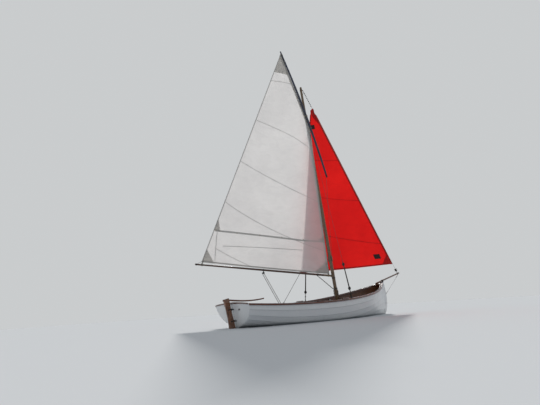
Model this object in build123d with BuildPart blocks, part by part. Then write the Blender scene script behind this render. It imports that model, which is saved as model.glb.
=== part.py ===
from build123d import *
import os
from math import cos, radians, sin, tan

import numpy as np

os.makedirs("parts", exist_ok=True)

# Clinker sailing dinghy, afloat, with a standing lug mainsail and a jib on a bowsprit.
# Millimetres. +X is forward, +Y is port, +Z is up. The origin is amidships on the centreline
# at the waterline, so z = 0 is the water.

# Hull form. Each row is one cross section, given as the four control points of its curve:
# place along the sheer (0 aft, 1 at the stem), then x, y, z of the rabbet at the keel,
# of the floor, of the bilge and of the sheer.
HULL_ROWS = [
    (0.00, (-2152, 24, -5), (-2175, 62, 95), (-2168, 560, 55), (-2261, 566, 442)),
    (0.17, (-1500, 27, -82), (-1500, 210, -50), (-1500, 628, -45), (-1500, 672, 402)),
    (0.35, (-700, 36, -128), (-700, 380, -98), (-700, 672, -75), (-700, 722, 392)),
    (0.53, (60, 36, -142), (80, 420, -108), (90, 668, -68), (100, 729, 412)),
    (0.70, (720, 32, -138), (770, 320, -104), (820, 596, -20), (850, 672, 475)),
    (0.86, (1290, 27, -124), (1430, 150, -84), (1530, 392, 96), (1560, 450, 590)),
    (1.00, (1800, 4, -105), (2240, 4, -90), (2345, 4, 220), (2205, 4, 765)),
]
STRAKES = 7
PLANK_THICKNESS = 9
LAP = 18
GLUE_GAP = 0.5
FIT = 0.8
SEAT = 0.3
PLANK_STATIONS = [0.0, 0.035, 0.08, 0.16, 0.26, 0.37, 0.48, 0.59, 0.7, 0.8, 0.89, 0.95, 0.98, 1.0]

# Backbone
STEM_SIDED = 40
STEM_FACE = 42
STEM_HEAD = 24
KEEL_DEPTH = 44
SKEG_BOTTOM = -205
SKEG_FORWARD = -1150
SKEG_SIDED = 34

# Transom: its aft face passes through these two points of the centreline plane
TRANSOM_FOOT_X = -2127
TRANSOM_RAKE = 13.8
TRANSOM_THICKNESS = 22
TRANSOM_CROWN = 472

# Ribs, rails and seats
RIB_SIDED = 16
RIB_MOULDED = 11
RIB_SPACING = 290
RIB_AFT = -1960
RIB_FORWARD = 1700
RAIL_DEPTH = 34
# Rowlock pads: place along the boat, and seat above the planking's edge
ROWLOCKS = [(-600, 3.8), (100, 5)]
# The sheer strake and the rubbing strips outside it are in three lengths, butted under these pads
BUTTS = [(x, 0, 0) for x, seat in ROWLOCKS]
BUTT_GAP = 0.6
SAW_REACH = 2000
OUTWALE_WIDTH = 22
INWALE_WIDTH = 17
SEAT_TOP = 212
SEAT_THICKNESS = 20
RISER_DEPTH = 45
RISER_WIDTH = 14
# Seats across the boat: name, aft edge and forward edge in x
THWARTS = [("aft_thwart", -1090, -880), ("centre_thwart", -440, -220), ("mast_thwart", 500, 720)]
STERN_SEAT_FORWARD = -1720
FLOOR_TOP = -44
FLOORBOARD_THICKNESS = 12
# Floorboards on one side, by the distance of their inner edge from the centreline
FLOORBOARD_INNER_EDGES = [40, 148, 256]
FLOORBOARD_WIDTH = 102
FLOOR_AFT = -1560
FLOOR_FORWARD = 1240
FLOOR_BEARERS_X = [-1525, -945, -365, 215, 795, 1085]
FLOOR_BEARER_SIDED = 24

# Centreboard and its case
PIN_X = 410
PIN_Z = -92
PIN_RADIUS = 6
BOARD_THICKNESS = 16
BOARD_CHORD = 290
BOARD_LENGTH = 780
CASE_CLEARANCE = 5.5
CASE_WALL = 18
CASE_AFT = -432
CASE_FORWARD = 486

# Mast: its centre line passes through these points
MAST_PARTNER_X = 590
MAST_PARTNER_Z = 400
MAST_TOP_Z = 5470
MAST_RADIUS = 38
MAST_TOP_RADIUS = 26
MAST_TAPER_Z = 2000
MAST_HEEL_Z = -122

# Rig, seen along the boom: a is the distance aft of the mast's centre line
BOOM_ANGLE = 27
RIG_OFFSET = 55.1
BOOM_RADIUS = 22
BOOM_Z = 940
BOOM_END_A = 3045
BOOM_END_Z = 1338
YARD_HEEL = (-240, 3256)
YARD_MIDDLE = (16, 4780)
YARD_PEAK = (370, 6348)
# Yard radius at fractions of its length from the heel
YARD_RINGS = [(0, 20), (0.25, 25), (0.5, 26), (0.75, 23), (1, 15)]
SAIL_TACK = (92, 1045)
SAIL_CLEW = (2905, 1378)
SAIL_THROAT = (42, 4405)
SAIL_PEAK = (370.6, 6285)
# How far the sail's luff lies to starboard of the boom's own plane
SAIL_LUFF_SIDES = (10, 12)
SAIL_CLOTH = 4
JAW_GAP = 0.8

# Bowsprit and headsail
SPRIT_HEEL = (1990, 0, 742)
SPRIT_END = (2930, 0, 990)
SPRIT_RADIUS = 20
JIB_HEAD = (330, 0, 4990)
JIB_STAY_FOOT = (2862, 0, 1004)
JIB_TACK_Z = 1225
JIB_CLEW = (157, 720, 1055)
JIB_CLOTH = 4
FURLER_RADIUS = 38
BOBSTAY_FOOT_Z = 470
WIRE_RADIUS = 2.5

# Rigging points on the hull
HOUNDS_Z = 4300
CHAINPLATE_X = 277
SHEET_BLOCK_X = -985

# Rudder
PIVOT_SETBACK = 22
RUDDER_THICKNESS = 24
GUDGEONS_Z = [330, 120]
PINTLE_RADIUS = 5
TILLER_END_X = -1470


# The hull form
def fair(values, places, q):
    """A natural cubic spline through values at places, worked out at q."""
    values = np.array(values, float)
    places = np.array(places, float)
    steps = np.diff(places)
    slopes = np.diff(values) / steps
    size = len(places)
    matrix = np.eye(size)
    right = np.zeros(size)
    for i in range(1, size - 1):
        matrix[i, i - 1 : i + 2] = [steps[i - 1], 2 * (steps[i - 1] + steps[i]), steps[i]]
        right[i] = 6 * (slopes[i] - slopes[i - 1])
    bend = np.linalg.solve(matrix, right)
    i = int(np.clip(np.searchsorted(places, q) - 1, 0, size - 2))
    w = (q - places[i]) / steps[i]
    v = 1 - w
    curve = ((v**3 - v) * bend[i] + (w**3 - w) * bend[i + 1]) * steps[i] ** 2 / 6
    return v * values[i] + w * values[i + 1] + curve


PLACES = [row[0] for row in HULL_ROWS]


def lap_points(q):
    """Points of the outside of the hull at q, one at each edge between two planks."""
    corner = []
    for column in range(1, 5):
        corner.append([fair([row[column][i] for row in HULL_ROWS], PLACES, q) for i in range(3)])
    corner = np.array(corner)
    t = np.linspace(0, 1, 60)[:, None]
    curve = (1 - t) ** 3 * corner[0] + 3 * t * (1 - t) ** 2 * corner[1]
    curve = curve + 3 * t**2 * (1 - t) * corner[2] + t**3 * corner[3]
    length = np.concatenate([[0], np.cumsum(np.linalg.norm(np.diff(curve, axis=0), axis=1))])
    wanted = np.linspace(0, length[-1], STRAKES + 1)
    return np.stack([np.interp(wanted, length, curve[:, i]) for i in range(3)], axis=1)


def unit(v):
    return v / np.linalg.norm(v)


def plank_frame(k, q):
    """Lower edge, direction up the plank, outward normal and width of plank k at q."""
    low, high = max(q - 0.01, 0), min(q + 0.01, 1)
    before, after = lap_points(low), lap_points(high)
    run = unit((after[k] + after[k + 1]) - (before[k] + before[k + 1]))
    points = lap_points(q)
    up = points[k + 1] - points[k]
    width = np.linalg.norm(up)
    up = up / width
    normal = unit(np.cross(up, run))
    return points[k], up, normal, width


def plank_corners(k, q):
    """Corners of plank k at q: inner and outer at its foot, outer at its head, then the
    bevelled land under the next plank and the inner corner above it."""
    foot, up, normal, width = plank_frame(k, q)
    head = foot + up * width
    inner_foot = foot + normal * GLUE_GAP
    outer_foot = inner_foot + normal * PLANK_THICKNESS
    inner_head = head - normal * PLANK_THICKNESS
    corners = [inner_foot, outer_foot, head]
    if k < STRAKES - 1:
        next_foot, next_up, next_normal, next_width = plank_frame(k + 1, q)
        next_head = next_foot + next_up * next_width - next_normal * PLANK_THICKNESS
        corners.append(head + unit(next_head - next_foot) * LAP)
        corners.append(inner_head + unit(inner_head - inner_foot) * LAP)
    else:
        corners.append(inner_head)
    return corners


def plank_plane(k, q):
    foot, up, normal, width = plank_frame(k, q)
    return Plane(origin=tuple(foot), x_dir=tuple(up), z_dir=tuple(np.cross(up, normal)))


def plank_profile(k, q):
    """The same corners, as distances up the plank and outwards in plank_plane."""
    foot, up, normal, width = plank_frame(k, q)
    return [((p - foot) @ up, (p - foot) @ normal) for p in plank_corners(k, q)]


FINE = np.linspace(0, 1, 72)
INNER = [np.array([plank_corners(k, q)[-1] for q in FINE]) for k in range(STRAKES)]
GARBOARD = np.array([plank_corners(0, q)[0] for q in FINE])
GARBOARD_MIDDLE = np.array([(plank_corners(0, q)[0] + plank_corners(0, q)[-1]) / 2 for q in FINE])
RABBET = np.array([lap_points(q)[0] for q in FINE])
SHEER = np.array([lap_points(q)[STRAKES] for q in FINE])


def at_x(line, x):
    """y and z of a line of points at x."""
    return float(np.interp(x, line[:, 0], line[:, 1])), float(np.interp(x, line[:, 0], line[:, 2]))


def inside_line(x, setback=0.0):
    """The innermost corners of the planking at x, keel to sheer, moved in by setback."""
    points = [at_x(line, x) for line in (GARBOARD, GARBOARD_MIDDLE, *INNER)]
    moved = []
    for i, point in enumerate(points):
        low, high = points[max(i - 1, 0)], points[min(i + 1, len(points) - 1)]
        dy, dz = high[0] - low[0], high[1] - low[1]
        size = (dy * dy + dz * dz) ** 0.5
        moved.append((point[0] - dz / size * setback, point[1] + dy / size * setback))
    return moved


def inside_y(x, z, setback=0.0):
    """Half the clear width inside the planking at x and z, less setback."""
    line = inside_line(x, setback)
    return float(np.interp(z, [p[1] for p in line], [p[0] for p in line]))


def seat_y(x, z):
    """Half the clear width between the ribs near x, at z."""
    ribs_in = RIB_MOULDED + 2 * FIT
    return min(inside_y(x - RIB_SIDED, z, ribs_in), inside_y(x + RIB_SIDED, z, ribs_in))


transom_tilt = tan(radians(TRANSOM_RAKE))


def transom_x(z):
    return TRANSOM_FOOT_X - transom_tilt * z


transom_plane = Plane(
    origin=(TRANSOM_FOOT_X, 0, 0),
    x_dir=(0, 1, 0),
    z_dir=(cos(radians(TRANSOM_RAKE)), 0, sin(radians(TRANSOM_RAKE))),
)

# Planking: each strake is lofted through its own bevelled section, trimmed flush with the
# transom and along the side of the stem, and mirrored.
stem_side = Plane(origin=(0, STEM_SIDED / 2 + GLUE_GAP, 0), z_dir=(0, 1, 0))
for k in range(STRAKES):
    with BuildPart() as strake:
        for q in PLANK_STATIONS:
            with BuildSketch(plank_plane(k, q)):
                with BuildLine():
                    Polyline(*plank_profile(k, q), close=True)
                make_face()
        loft()
        split(bisect_by=transom_plane, keep=Keep.TOP)
        split(bisect_by=stem_side, keep=Keep.TOP)
        mirror(about=Plane.XZ)
        if k == STRAKES - 1:
            with Locations(*BUTTS):
                Box(BUTT_GAP, SAW_REACH, SAW_REACH, mode=Mode.SUBTRACT)
    strake.part.label = f"strake_{k + 1}"
    export_step(strake.part, f"parts/strake_{k + 1}.step")

# Gunwale rubbing strips outside the sheer strake, butted at the same places
with BuildPart() as outwales:
    for q in PLANK_STATIONS:
        foot, up, normal, width = plank_frame(STRAKES - 1, q)
        slope = PLANK_THICKNESS / width
        with BuildSketch(plank_plane(STRAKES - 1, q)):
            with BuildLine():
                Polyline(
                    (width, 2 * GLUE_GAP),
                    (width, OUTWALE_WIDTH - 6),
                    (width - 6, OUTWALE_WIDTH),
                    (width - RAIL_DEPTH + 8, OUTWALE_WIDTH),
                    (width - RAIL_DEPTH, OUTWALE_WIDTH - 8),
                    (width - RAIL_DEPTH, RAIL_DEPTH * slope + 2 * GLUE_GAP),
                    close=True,
                )
            make_face()
    loft()
    split(bisect_by=transom_plane, keep=Keep.TOP)
    split(bisect_by=stem_side, keep=Keep.TOP)
    mirror(about=Plane.XZ)
    with Locations(*BUTTS):
        Box(BUTT_GAP, SAW_REACH, SAW_REACH, mode=Mode.SUBTRACT)
outwales.part.label = "outwales"
export_step(outwales.part, "parts/outwales.step")

# Inwales inside the rib heads
inwale_x = [-2196, -1800, -1300, -800, -300, 200, 700, 1150, 1500, 1750, 1960]
with BuildPart() as inwales:
    for x in inwale_x:
        z = at_x(INNER[-1], x)[1]
        top_y = seat_y(x, z) - FIT
        low_y = seat_y(x, z - RAIL_DEPTH) - FIT
        with BuildSketch(Plane(origin=(x, 0, 0), x_dir=(0, 1, 0), z_dir=(1, 0, 0))):
            with BuildLine():
                Polyline(
                    (top_y, z),
                    (top_y - INWALE_WIDTH, z),
                    (low_y - INWALE_WIDTH, z - RAIL_DEPTH),
                    (low_y, z - RAIL_DEPTH),
                    close=True,
                )
            make_face()
    loft()
    mirror(about=Plane.XZ)
inwales.part.label = "inwales"
export_step(inwales.part, "parts/inwales.step")

# Keel: bent timber between the garboards, with the slot for the centreboard
keel_x = [-2150, -1950, -1700, -1400, -1100, -700, -300, 60, 400, 720, 1000, 1200, 1320, 1420, 1520, 1796]
keel_top = [(x, at_x(RABBET, x)[1]) for x in keel_x]
keel_bottom = [(x, at_x(RABBET, x)[1] - KEEL_DEPTH) for x in keel_x]
keel_side = [(x, max(at_x(RABBET, x)[0] - 2 * FIT, STEM_SIDED / 2)) for x in keel_x]
slot_half = BOARD_THICKNESS / 2 + CASE_CLEARANCE
with BuildPart() as keel:
    with BuildSketch(Plane.XZ):
        with BuildLine():
            Polyline(*keel_top, *reversed(keel_bottom), close=True)
        make_face()
    extrude(amount=100, both=True)
    with BuildSketch(Plane.XY.offset(-400)):
        with BuildLine():
            Polyline(*keel_side, *[(x, -y) for x, y in reversed(keel_side)], close=True)
        make_face()
    extrude(amount=600, mode=Mode.INTERSECT)
    with BuildSketch(Plane.XY.offset(-400)):
        with Locations(((CASE_AFT + CASE_FORWARD) / 2, 0)):
            Rectangle(CASE_FORWARD - CASE_AFT, 2 * slot_half)
    extrude(amount=600, mode=Mode.SUBTRACT)
    split(bisect_by=transom_plane, keep=Keep.TOP)
keel.part.label = "keel"
export_step(keel.part, "parts/keel.step")


def keel_top_z(x):
    return float(np.interp(x, [p[0] for p in keel_top], [p[1] for p in keel_top]))


# Bowsprit over the stem head, round and slightly tapered
sprit_heel = Vector(*SPRIT_HEEL)
sprit_end = Vector(*SPRIT_END)
sprit_direction = (sprit_end - sprit_heel).normalized()
sprit_length = (sprit_end - sprit_heel).length
sprit_plane = Plane(origin=sprit_heel, x_dir=(0, 1, 0), z_dir=sprit_direction)


def sprit_point(x):
    return sprit_heel + sprit_direction * ((x - sprit_heel.X) / sprit_direction.X)


with BuildPart() as sprit:
    with BuildSketch(sprit_plane):
        Circle(SPRIT_RADIUS)
    with BuildSketch(sprit_plane.offset(sprit_length)):
        Circle(SPRIT_RADIUS - 2)
    loft(ruled=True)
    fillet(sprit.edges().group_by(Axis.X)[-1], 5)
sprit.part.label = "bowsprit"
export_step(sprit.part, "parts/bowsprit.step")

# Stem: outer and inner stem in one, from the keel's end to the head that stands above the sheer
stem_row = np.array(HULL_ROWS[-1][1:], float)
stem_curve = []
for t in np.linspace(0, 1, 9):
    weights = np.array([(1 - t) ** 3, 3 * t * (1 - t) ** 2, 3 * t * t * (1 - t), t**3])
    stem_curve.append(weights @ stem_row)
stem_before = [stem_curve[0]] + stem_curve[:-1]
stem_after = stem_curve[1:] + [stem_curve[-1]]
stem_run = [unit(b - a) for a, b in zip(stem_before, stem_after)]
stem_outer = []
stem_inner = []
for p, r in zip(stem_curve, stem_run):
    stem_outer.append((p[0] + r[2] * STEM_FACE, p[2] - r[0] * STEM_FACE))
    stem_inner.append((p[0] - r[2] * STEM_FACE * 0.9, p[2] + r[0] * STEM_FACE * 0.9))
with BuildPart() as stem:
    with BuildSketch(Plane.XZ):
        with BuildLine():
            outer_edge = Spline(*stem_outer)
            Polyline(
                outer_edge @ 1,
                (stem_outer[-1][0], stem_outer[-1][1] + STEM_HEAD),
                (stem_inner[-1][0], stem_inner[-1][1] + STEM_HEAD - 12),
                stem_inner[-1],
            )
            inner_edge = Spline(*reversed(stem_inner))
            Line(inner_edge @ 1, outer_edge @ 0)
        make_face()
    extrude(amount=STEM_SIDED / 2, both=True)
    with BuildSketch(sprit_plane.offset(20)):
        Circle(SPRIT_RADIUS + FIT)
    extrude(amount=sprit_length, mode=Mode.SUBTRACT)
stem.part.label = "stem"
export_step(stem.part, "parts/stem.step")

# Skeg under the after part of the keel, ending in line with the transom
skeg_top = [(x, z - FIT) for x, z in keel_bottom if x <= SKEG_FORWARD]
with BuildPart() as skeg:
    with BuildSketch(Plane.XZ):
        with BuildLine():
            Polyline(
                *skeg_top,
                (SKEG_FORWARD, SKEG_BOTTOM + 30),
                (SKEG_FORWARD - 70, SKEG_BOTTOM),
                (skeg_top[0][0], SKEG_BOTTOM),
                close=True,
            )
        make_face()
    extrude(amount=SKEG_SIDED / 2, both=True)
    split(bisect_by=transom_plane, keep=Keep.TOP)
skeg.part.label = "skeg"
export_step(skeg.part, "parts/skeg.step")


# Transom: notched to the planks, with a crowned top
def corner_on_transom(k, index, depth):
    """Corner index of plank k, moved clear of it by the fit, where it crosses the transom's
    plane moved forward by depth, as distances across and up that plane."""
    line = []
    for q in FINE[:12]:
        foot, up, normal, width = plank_frame(k, q)
        line.append(plank_corners(k, q)[index] + (up - normal) * FIT)
    line = np.array(line)
    normal = np.array([transom_plane.z_dir.X, 0, transom_plane.z_dir.Z])
    ahead = (line - np.array([TRANSOM_FOOT_X, 0, 0])) @ normal - depth
    y, z = (float(np.interp(0, ahead, line[:, i])) for i in (1, 2))
    return y, z / normal[0] - depth * transom_tilt


def transom_outline(depth):
    points = [corner_on_transom(0, 0, depth)]
    for k in range(STRAKES - 1):
        points.append(corner_on_transom(k, 4, depth))
        points.append(corner_on_transom(k, 3, depth))
    points.append(corner_on_transom(STRAKES - 1, 3, depth))
    return points


with BuildPart() as transom:
    for depth in (0, TRANSOM_THICKNESS):
        with BuildSketch(transom_plane.offset(depth)):
            side = transom_outline(depth)
            with BuildLine():
                Polyline(*side)
                Polyline(*[(-y, v) for y, v in side])
                Line((-side[0][0], side[0][1]), side[0])
                crown = (0, TRANSOM_CROWN / cos(radians(TRANSOM_RAKE)))
                ThreePointArc(side[-1], crown, (-side[-1][0], side[-1][1]))
            make_face()
    loft(ruled=True)
transom.part.label = "transom"
export_step(transom.part, "parts/transom.step")

# Ribs: one pair at each place, bent up the inside of the planking from keel to sheer
with BuildPart() as ribs:
    for x in range(RIB_AFT, RIB_FORWARD, RIB_SPACING):
        narrow = x + RIB_SIDED / 2 if x > 0 else x - RIB_SIDED / 2
        outer = inside_line(narrow, FIT)
        inner = inside_line(narrow, FIT + RIB_MOULDED)
        outer[0] = (outer[0][0] * 0.93 + outer[1][0] * 0.07, outer[0][1] * 0.93 + outer[1][1] * 0.07)
        with BuildSketch(Plane(origin=(x, 0, 0), x_dir=(0, 1, 0), z_dir=(1, 0, 0))):
            with BuildLine():
                Polyline(*outer, *reversed(inner), close=True)
            make_face()
        extrude(amount=RIB_SIDED / 2, both=True)
    mirror(about=Plane.XZ)
ribs.part.label = "ribs"
export_step(ribs.part, "parts/ribs.step")

# Floor timbers between the ribs, flat on top for the floorboards
floor_under = FLOOR_TOP - FLOORBOARD_THICKNESS
with BuildPart() as floors:
    for x in FLOOR_BEARERS_X:
        narrow = x + FLOOR_BEARER_SIDED / 2 if x > 0 else x - FLOOR_BEARER_SIDED / 2
        line = inside_line(narrow, 1.5 * FIT)
        low = [p for p in line if p[1] < floor_under - 4]
        with BuildSketch(Plane(origin=(x, 0, 0), x_dir=(0, 1, 0), z_dir=(1, 0, 0))):
            with BuildLine():
                Polyline(
                    (low[0][0], floor_under),
                    (inside_y(narrow, floor_under, 1.5 * FIT), floor_under),
                    *reversed(low),
                    close=True,
                )
            make_face()
        extrude(amount=FLOOR_BEARER_SIDED / 2, both=True)
    mirror(about=Plane.XZ)
floors.part.label = "floor_timbers"
export_step(floors.part, "parts/floor_timbers.step")


# Floorboards, each as long as the hull leaves room for
def run_inside(y, z):
    """Aft and forward end of a board whose outer edge is y from the centreline."""
    places = [x for x in range(FLOOR_AFT, FLOOR_FORWARD, 10) if seat_y(x, z) > y + 4]
    return places[0], places[-1]


with BuildPart() as floorboards:
    for inner_edge_y in FLOORBOARD_INNER_EDGES:
        aft, forward = run_inside(inner_edge_y + FLOORBOARD_WIDTH, floor_under)
        with BuildSketch(Plane.XY.offset(floor_under)):
            with Locations(((aft + forward) / 2, inner_edge_y + FLOORBOARD_WIDTH / 2)):
                Rectangle(forward - aft, FLOORBOARD_WIDTH)
        extrude(amount=FLOORBOARD_THICKNESS)
    mirror(about=Plane.XZ)
floorboards.part.label = "floorboards"
export_step(floorboards.part, "parts/floorboards.step")


# Mast: its centre line, and points of the rig turned with the boom
def mast_x(z):
    return MAST_PARTNER_X * (MAST_TOP_Z - z) / (MAST_TOP_Z - MAST_PARTNER_Z)


def mast_point(z):
    return Vector(mast_x(z), 0, z)


mast_direction = (mast_point(MAST_TOP_Z) - mast_point(MAST_PARTNER_Z)).normalized()
ALONG_BOOM = Vector(-cos(radians(BOOM_ANGLE)), sin(radians(BOOM_ANGLE)), 0)
ACROSS_BOOM = Vector(-sin(radians(BOOM_ANGLE)), -cos(radians(BOOM_ANGLE)), 0)


def rig_point(a, z, side=0.0):
    """A point a aft of the mast's centre line along the boom, and side out to starboard."""
    return mast_point(z) + ALONG_BOOM * a + ACROSS_BOOM * side


def mast_radius(z):
    heights = [MAST_PARTNER_Z, MAST_TAPER_Z, MAST_TOP_Z]
    return float(np.interp(z, heights, [MAST_RADIUS, MAST_RADIUS, MAST_TOP_RADIUS]))


mast_plane = Plane(origin=mast_point(MAST_HEEL_Z), x_dir=(0, 1, 0), z_dir=mast_direction)
mast_length = (mast_point(MAST_TOP_Z) - mast_point(MAST_HEEL_Z)).length
partner_s = (mast_point(MAST_PARTNER_Z) - mast_point(MAST_HEEL_Z)).length
taper_s = (mast_point(2000) - mast_point(MAST_HEEL_Z)).length
MAST_HEEL_RADIUS = 18
MAST_TENON = 47
MAST_STEP = (560, 740)
MAST_STEP_HEIGHT = 52
with BuildPart() as mast:
    with BuildSketch(Plane(origin=mast_plane.origin, x_dir=mast_plane.x_dir, z_dir=-mast_plane.y_dir)):
        with BuildLine():
            Polyline(
                (0, 0),
                (MAST_HEEL_RADIUS, 0),
                (MAST_HEEL_RADIUS, MAST_TENON),
                (MAST_RADIUS - 5, MAST_TENON),
                (MAST_RADIUS, partner_s * 0.6),
                (MAST_RADIUS, taper_s),
                (MAST_TOP_RADIUS, mast_length - 14),
                (MAST_TOP_RADIUS - 8, mast_length),
                (0, mast_length),
                close=True,
            )
        make_face()
    revolve(axis=Axis(mast_plane.origin, mast_direction))
mast.part.label = "mast"
export_step(mast.part, "parts/mast.step")

# Mast step on the keel, with a socket for the mast's heel
with BuildPart() as step:
    with BuildSketch(Plane.XZ):
        with BuildLine():
            Polyline(
                (MAST_STEP[0], keel_top_z(MAST_STEP[0]) + FIT),
                (MAST_STEP[1], keel_top_z(MAST_STEP[1]) + FIT),
                (MAST_STEP[1], keel_top_z(MAST_STEP[1]) + MAST_STEP_HEIGHT),
                (MAST_STEP[0], keel_top_z(MAST_STEP[0]) + MAST_STEP_HEIGHT),
                close=True,
            )
        make_face()
    extrude(amount=29, both=True)
    with BuildSketch(mast_plane.offset(-FIT)):
        Circle(MAST_HEEL_RADIUS + FIT)
    extrude(amount=200, mode=Mode.SUBTRACT)
step.part.label = "mast_step"
export_step(step.part, "parts/mast_step.step")


# Risers along the ribs, which carry the seats
riser_top = SEAT_TOP - SEAT_THICKNESS
with BuildPart() as risers:
    for x in (-2125, -1800, -1400, -1000, -600, -200, 200, 600, 900, 1120):
        top_y = seat_y(x, riser_top) - 2 * FIT
        low_y = seat_y(x, riser_top - RISER_DEPTH) - 2 * FIT
        with BuildSketch(Plane(origin=(x, 0, 0), x_dir=(0, 1, 0), z_dir=(1, 0, 0))):
            with BuildLine():
                Polyline(
                    (top_y, riser_top),
                    (top_y - RISER_WIDTH, riser_top),
                    (low_y - RISER_WIDTH, riser_top - RISER_DEPTH),
                    (low_y, riser_top - RISER_DEPTH),
                    close=True,
                )
            make_face()
    loft()
    mirror(about=Plane.XZ)
risers.part.label = "risers"
export_step(risers.part, "parts/risers.step")


# Thwarts on the risers; the mast passes through the forward one
def seat_outline(aft, forward):
    side = [(x, seat_y(x, riser_top) - FIT) for x in np.linspace(aft, forward, 4)]
    return [*side, *[(x, -y) for x, y in reversed(side)]]


for name, aft, forward in THWARTS:
    with BuildPart() as thwart:
        with BuildSketch(Plane.XY.offset(riser_top)):
            with BuildLine():
                Polyline(*seat_outline(aft, forward), close=True)
            make_face()
        extrude(amount=SEAT_THICKNESS)
        with BuildSketch(mast_plane):
            Circle(MAST_RADIUS + FIT)
        extrude(amount=mast_length / 4, mode=Mode.SUBTRACT)
        fillet(thwart.edges().filter_by(GeomType.LINE).group_by(Axis.Z)[-1], 5)
    thwart.part.label = name
    export_step(thwart.part, f"parts/{name}.step")

# Stern seat of boards laid across
STERN_BOARDS = 4
STERN_BOARD_GAP = 8
stern_seat_aft = transom_x(riser_top) + TRANSOM_THICKNESS + 12
stern_board = (STERN_SEAT_FORWARD - stern_seat_aft - (STERN_BOARDS - 1) * STERN_BOARD_GAP) / STERN_BOARDS
with BuildPart() as stern_seat:
    for i in range(STERN_BOARDS):
        aft = stern_seat_aft + i * (stern_board + STERN_BOARD_GAP)
        with BuildSketch(Plane.XY.offset(riser_top)):
            with BuildLine():
                Polyline(*seat_outline(aft, aft + stern_board), close=True)
            make_face()
        extrude(amount=SEAT_THICKNESS - 4)
stern_seat.part.label = "stern_seat"
export_step(stern_seat.part, "parts/stern_seat.step")

# Knees from each thwart up to the inwale
KNEE_SIDED = 20
KNEE_FOOT = 140
with BuildPart() as knees:
    for name, aft, forward in THWARTS:
        x = (aft + forward) / 2
        top_z = at_x(INNER[-1], x)[1] - RAIL_DEPTH - 2 * FIT
        foot_y = seat_y(x, SEAT_TOP) - 2 * FIT
        head_y = seat_y(x, top_z) - 2 * FIT
        with BuildSketch(Plane(origin=(x, 0, 0), x_dir=(0, 1, 0), z_dir=(1, 0, 0))):
            with BuildLine():
                Polyline(
                    (foot_y - KNEE_FOOT, SEAT_TOP + 14),
                    (foot_y - KNEE_FOOT, SEAT_TOP),
                    (foot_y, SEAT_TOP),
                    (head_y, top_z),
                    (head_y - INWALE_WIDTH - 4, top_z),
                )
                ThreePointArc(
                    (head_y - INWALE_WIDTH - 4, top_z),
                    (foot_y - KNEE_FOOT * 0.36, SEAT_TOP + 52),
                    (foot_y - KNEE_FOOT, SEAT_TOP + 14),
                )
            make_face()
        extrude(amount=KNEE_SIDED / 2, both=True)
    mirror(about=Plane.XZ)
knees.part.label = "thwart_knees"
export_step(knees.part, "parts/thwart_knees.step")

# Centreboard case: two sides, two end posts and a cap, open below over the keel's slot
CASE_BOTTOM_GAP = 0.5
case_points = [CASE_AFT - 22, -250, 0, 250, CASE_FORWARD + 22]
case_low = [(x, keel_top_z(x) + CASE_BOTTOM_GAP) for x in case_points]
case_top = riser_top - FIT
with BuildPart() as case:
    with BuildSketch(Plane.XZ):
        with BuildLine():
            Polyline(*case_low, (case_points[-1], case_top), (case_points[0], case_top), close=True)
        make_face()
    extrude(amount=slot_half + CASE_WALL, both=True)
    with BuildSketch(Plane.XY.offset(-400)):
        with Locations(((CASE_AFT + CASE_FORWARD) / 2, 0)):
            Rectangle(CASE_FORWARD - CASE_AFT, 2 * slot_half)
    extrude(amount=800, mode=Mode.SUBTRACT)
    with BuildSketch(Plane.XZ.offset(-100)):
        with Locations((PIN_X, PIN_Z)):
            Circle(PIN_RADIUS + 0.4)
    extrude(amount=200, mode=Mode.SUBTRACT)
case.part.label = "centreboard_case"
export_step(case.part, "parts/centreboard_case.step")

# Pivot pin through the case
with BuildPart() as pin:
    with BuildSketch(Plane.XZ.offset(-slot_half - CASE_WALL)):
        with Locations((PIN_X, PIN_Z)):
            Circle(PIN_RADIUS)
    extrude(amount=2 * (slot_half + CASE_WALL))
pin.part.label = "centreboard_pin"
export_step(pin.part, "parts/centreboard_pin.step")

# Centreboard, hanging straight down from its pin; the tip is rounded, the edges are thinned
BOARD_AHEAD = 50
BOARD_ABOVE = 55
with BuildPart() as board:
    with BuildSketch(Plane.XZ) as board_outline:
        with BuildLine():
            Polyline(
                (PIN_X + BOARD_AHEAD, PIN_Z + BOARD_ABOVE),
                (PIN_X + BOARD_AHEAD - BOARD_CHORD, PIN_Z + BOARD_ABOVE),
                (PIN_X + BOARD_AHEAD - BOARD_CHORD + 12, PIN_Z - BOARD_LENGTH + 70),
                (PIN_X + BOARD_AHEAD - BOARD_CHORD + 90, PIN_Z - BOARD_LENGTH),
                (PIN_X + BOARD_AHEAD - 60, PIN_Z - BOARD_LENGTH),
                (PIN_X + BOARD_AHEAD, PIN_Z - BOARD_LENGTH + 90),
                close=True,
            )
        make_face()
        fillet(board_outline.vertices(), 28)
    extrude(amount=BOARD_THICKNESS / 2, both=True)
    chamfer(board.faces().filter_by(Axis.Y).edges(), 4.5)
    with BuildSketch(Plane.XZ.offset(-100)):
        with Locations((PIN_X, PIN_Z)):
            Circle(PIN_RADIUS + 0.4)
    extrude(amount=200, mode=Mode.SUBTRACT)
board.part.label = "centreboard"
export_step(board.part, "parts/centreboard.step")

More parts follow.
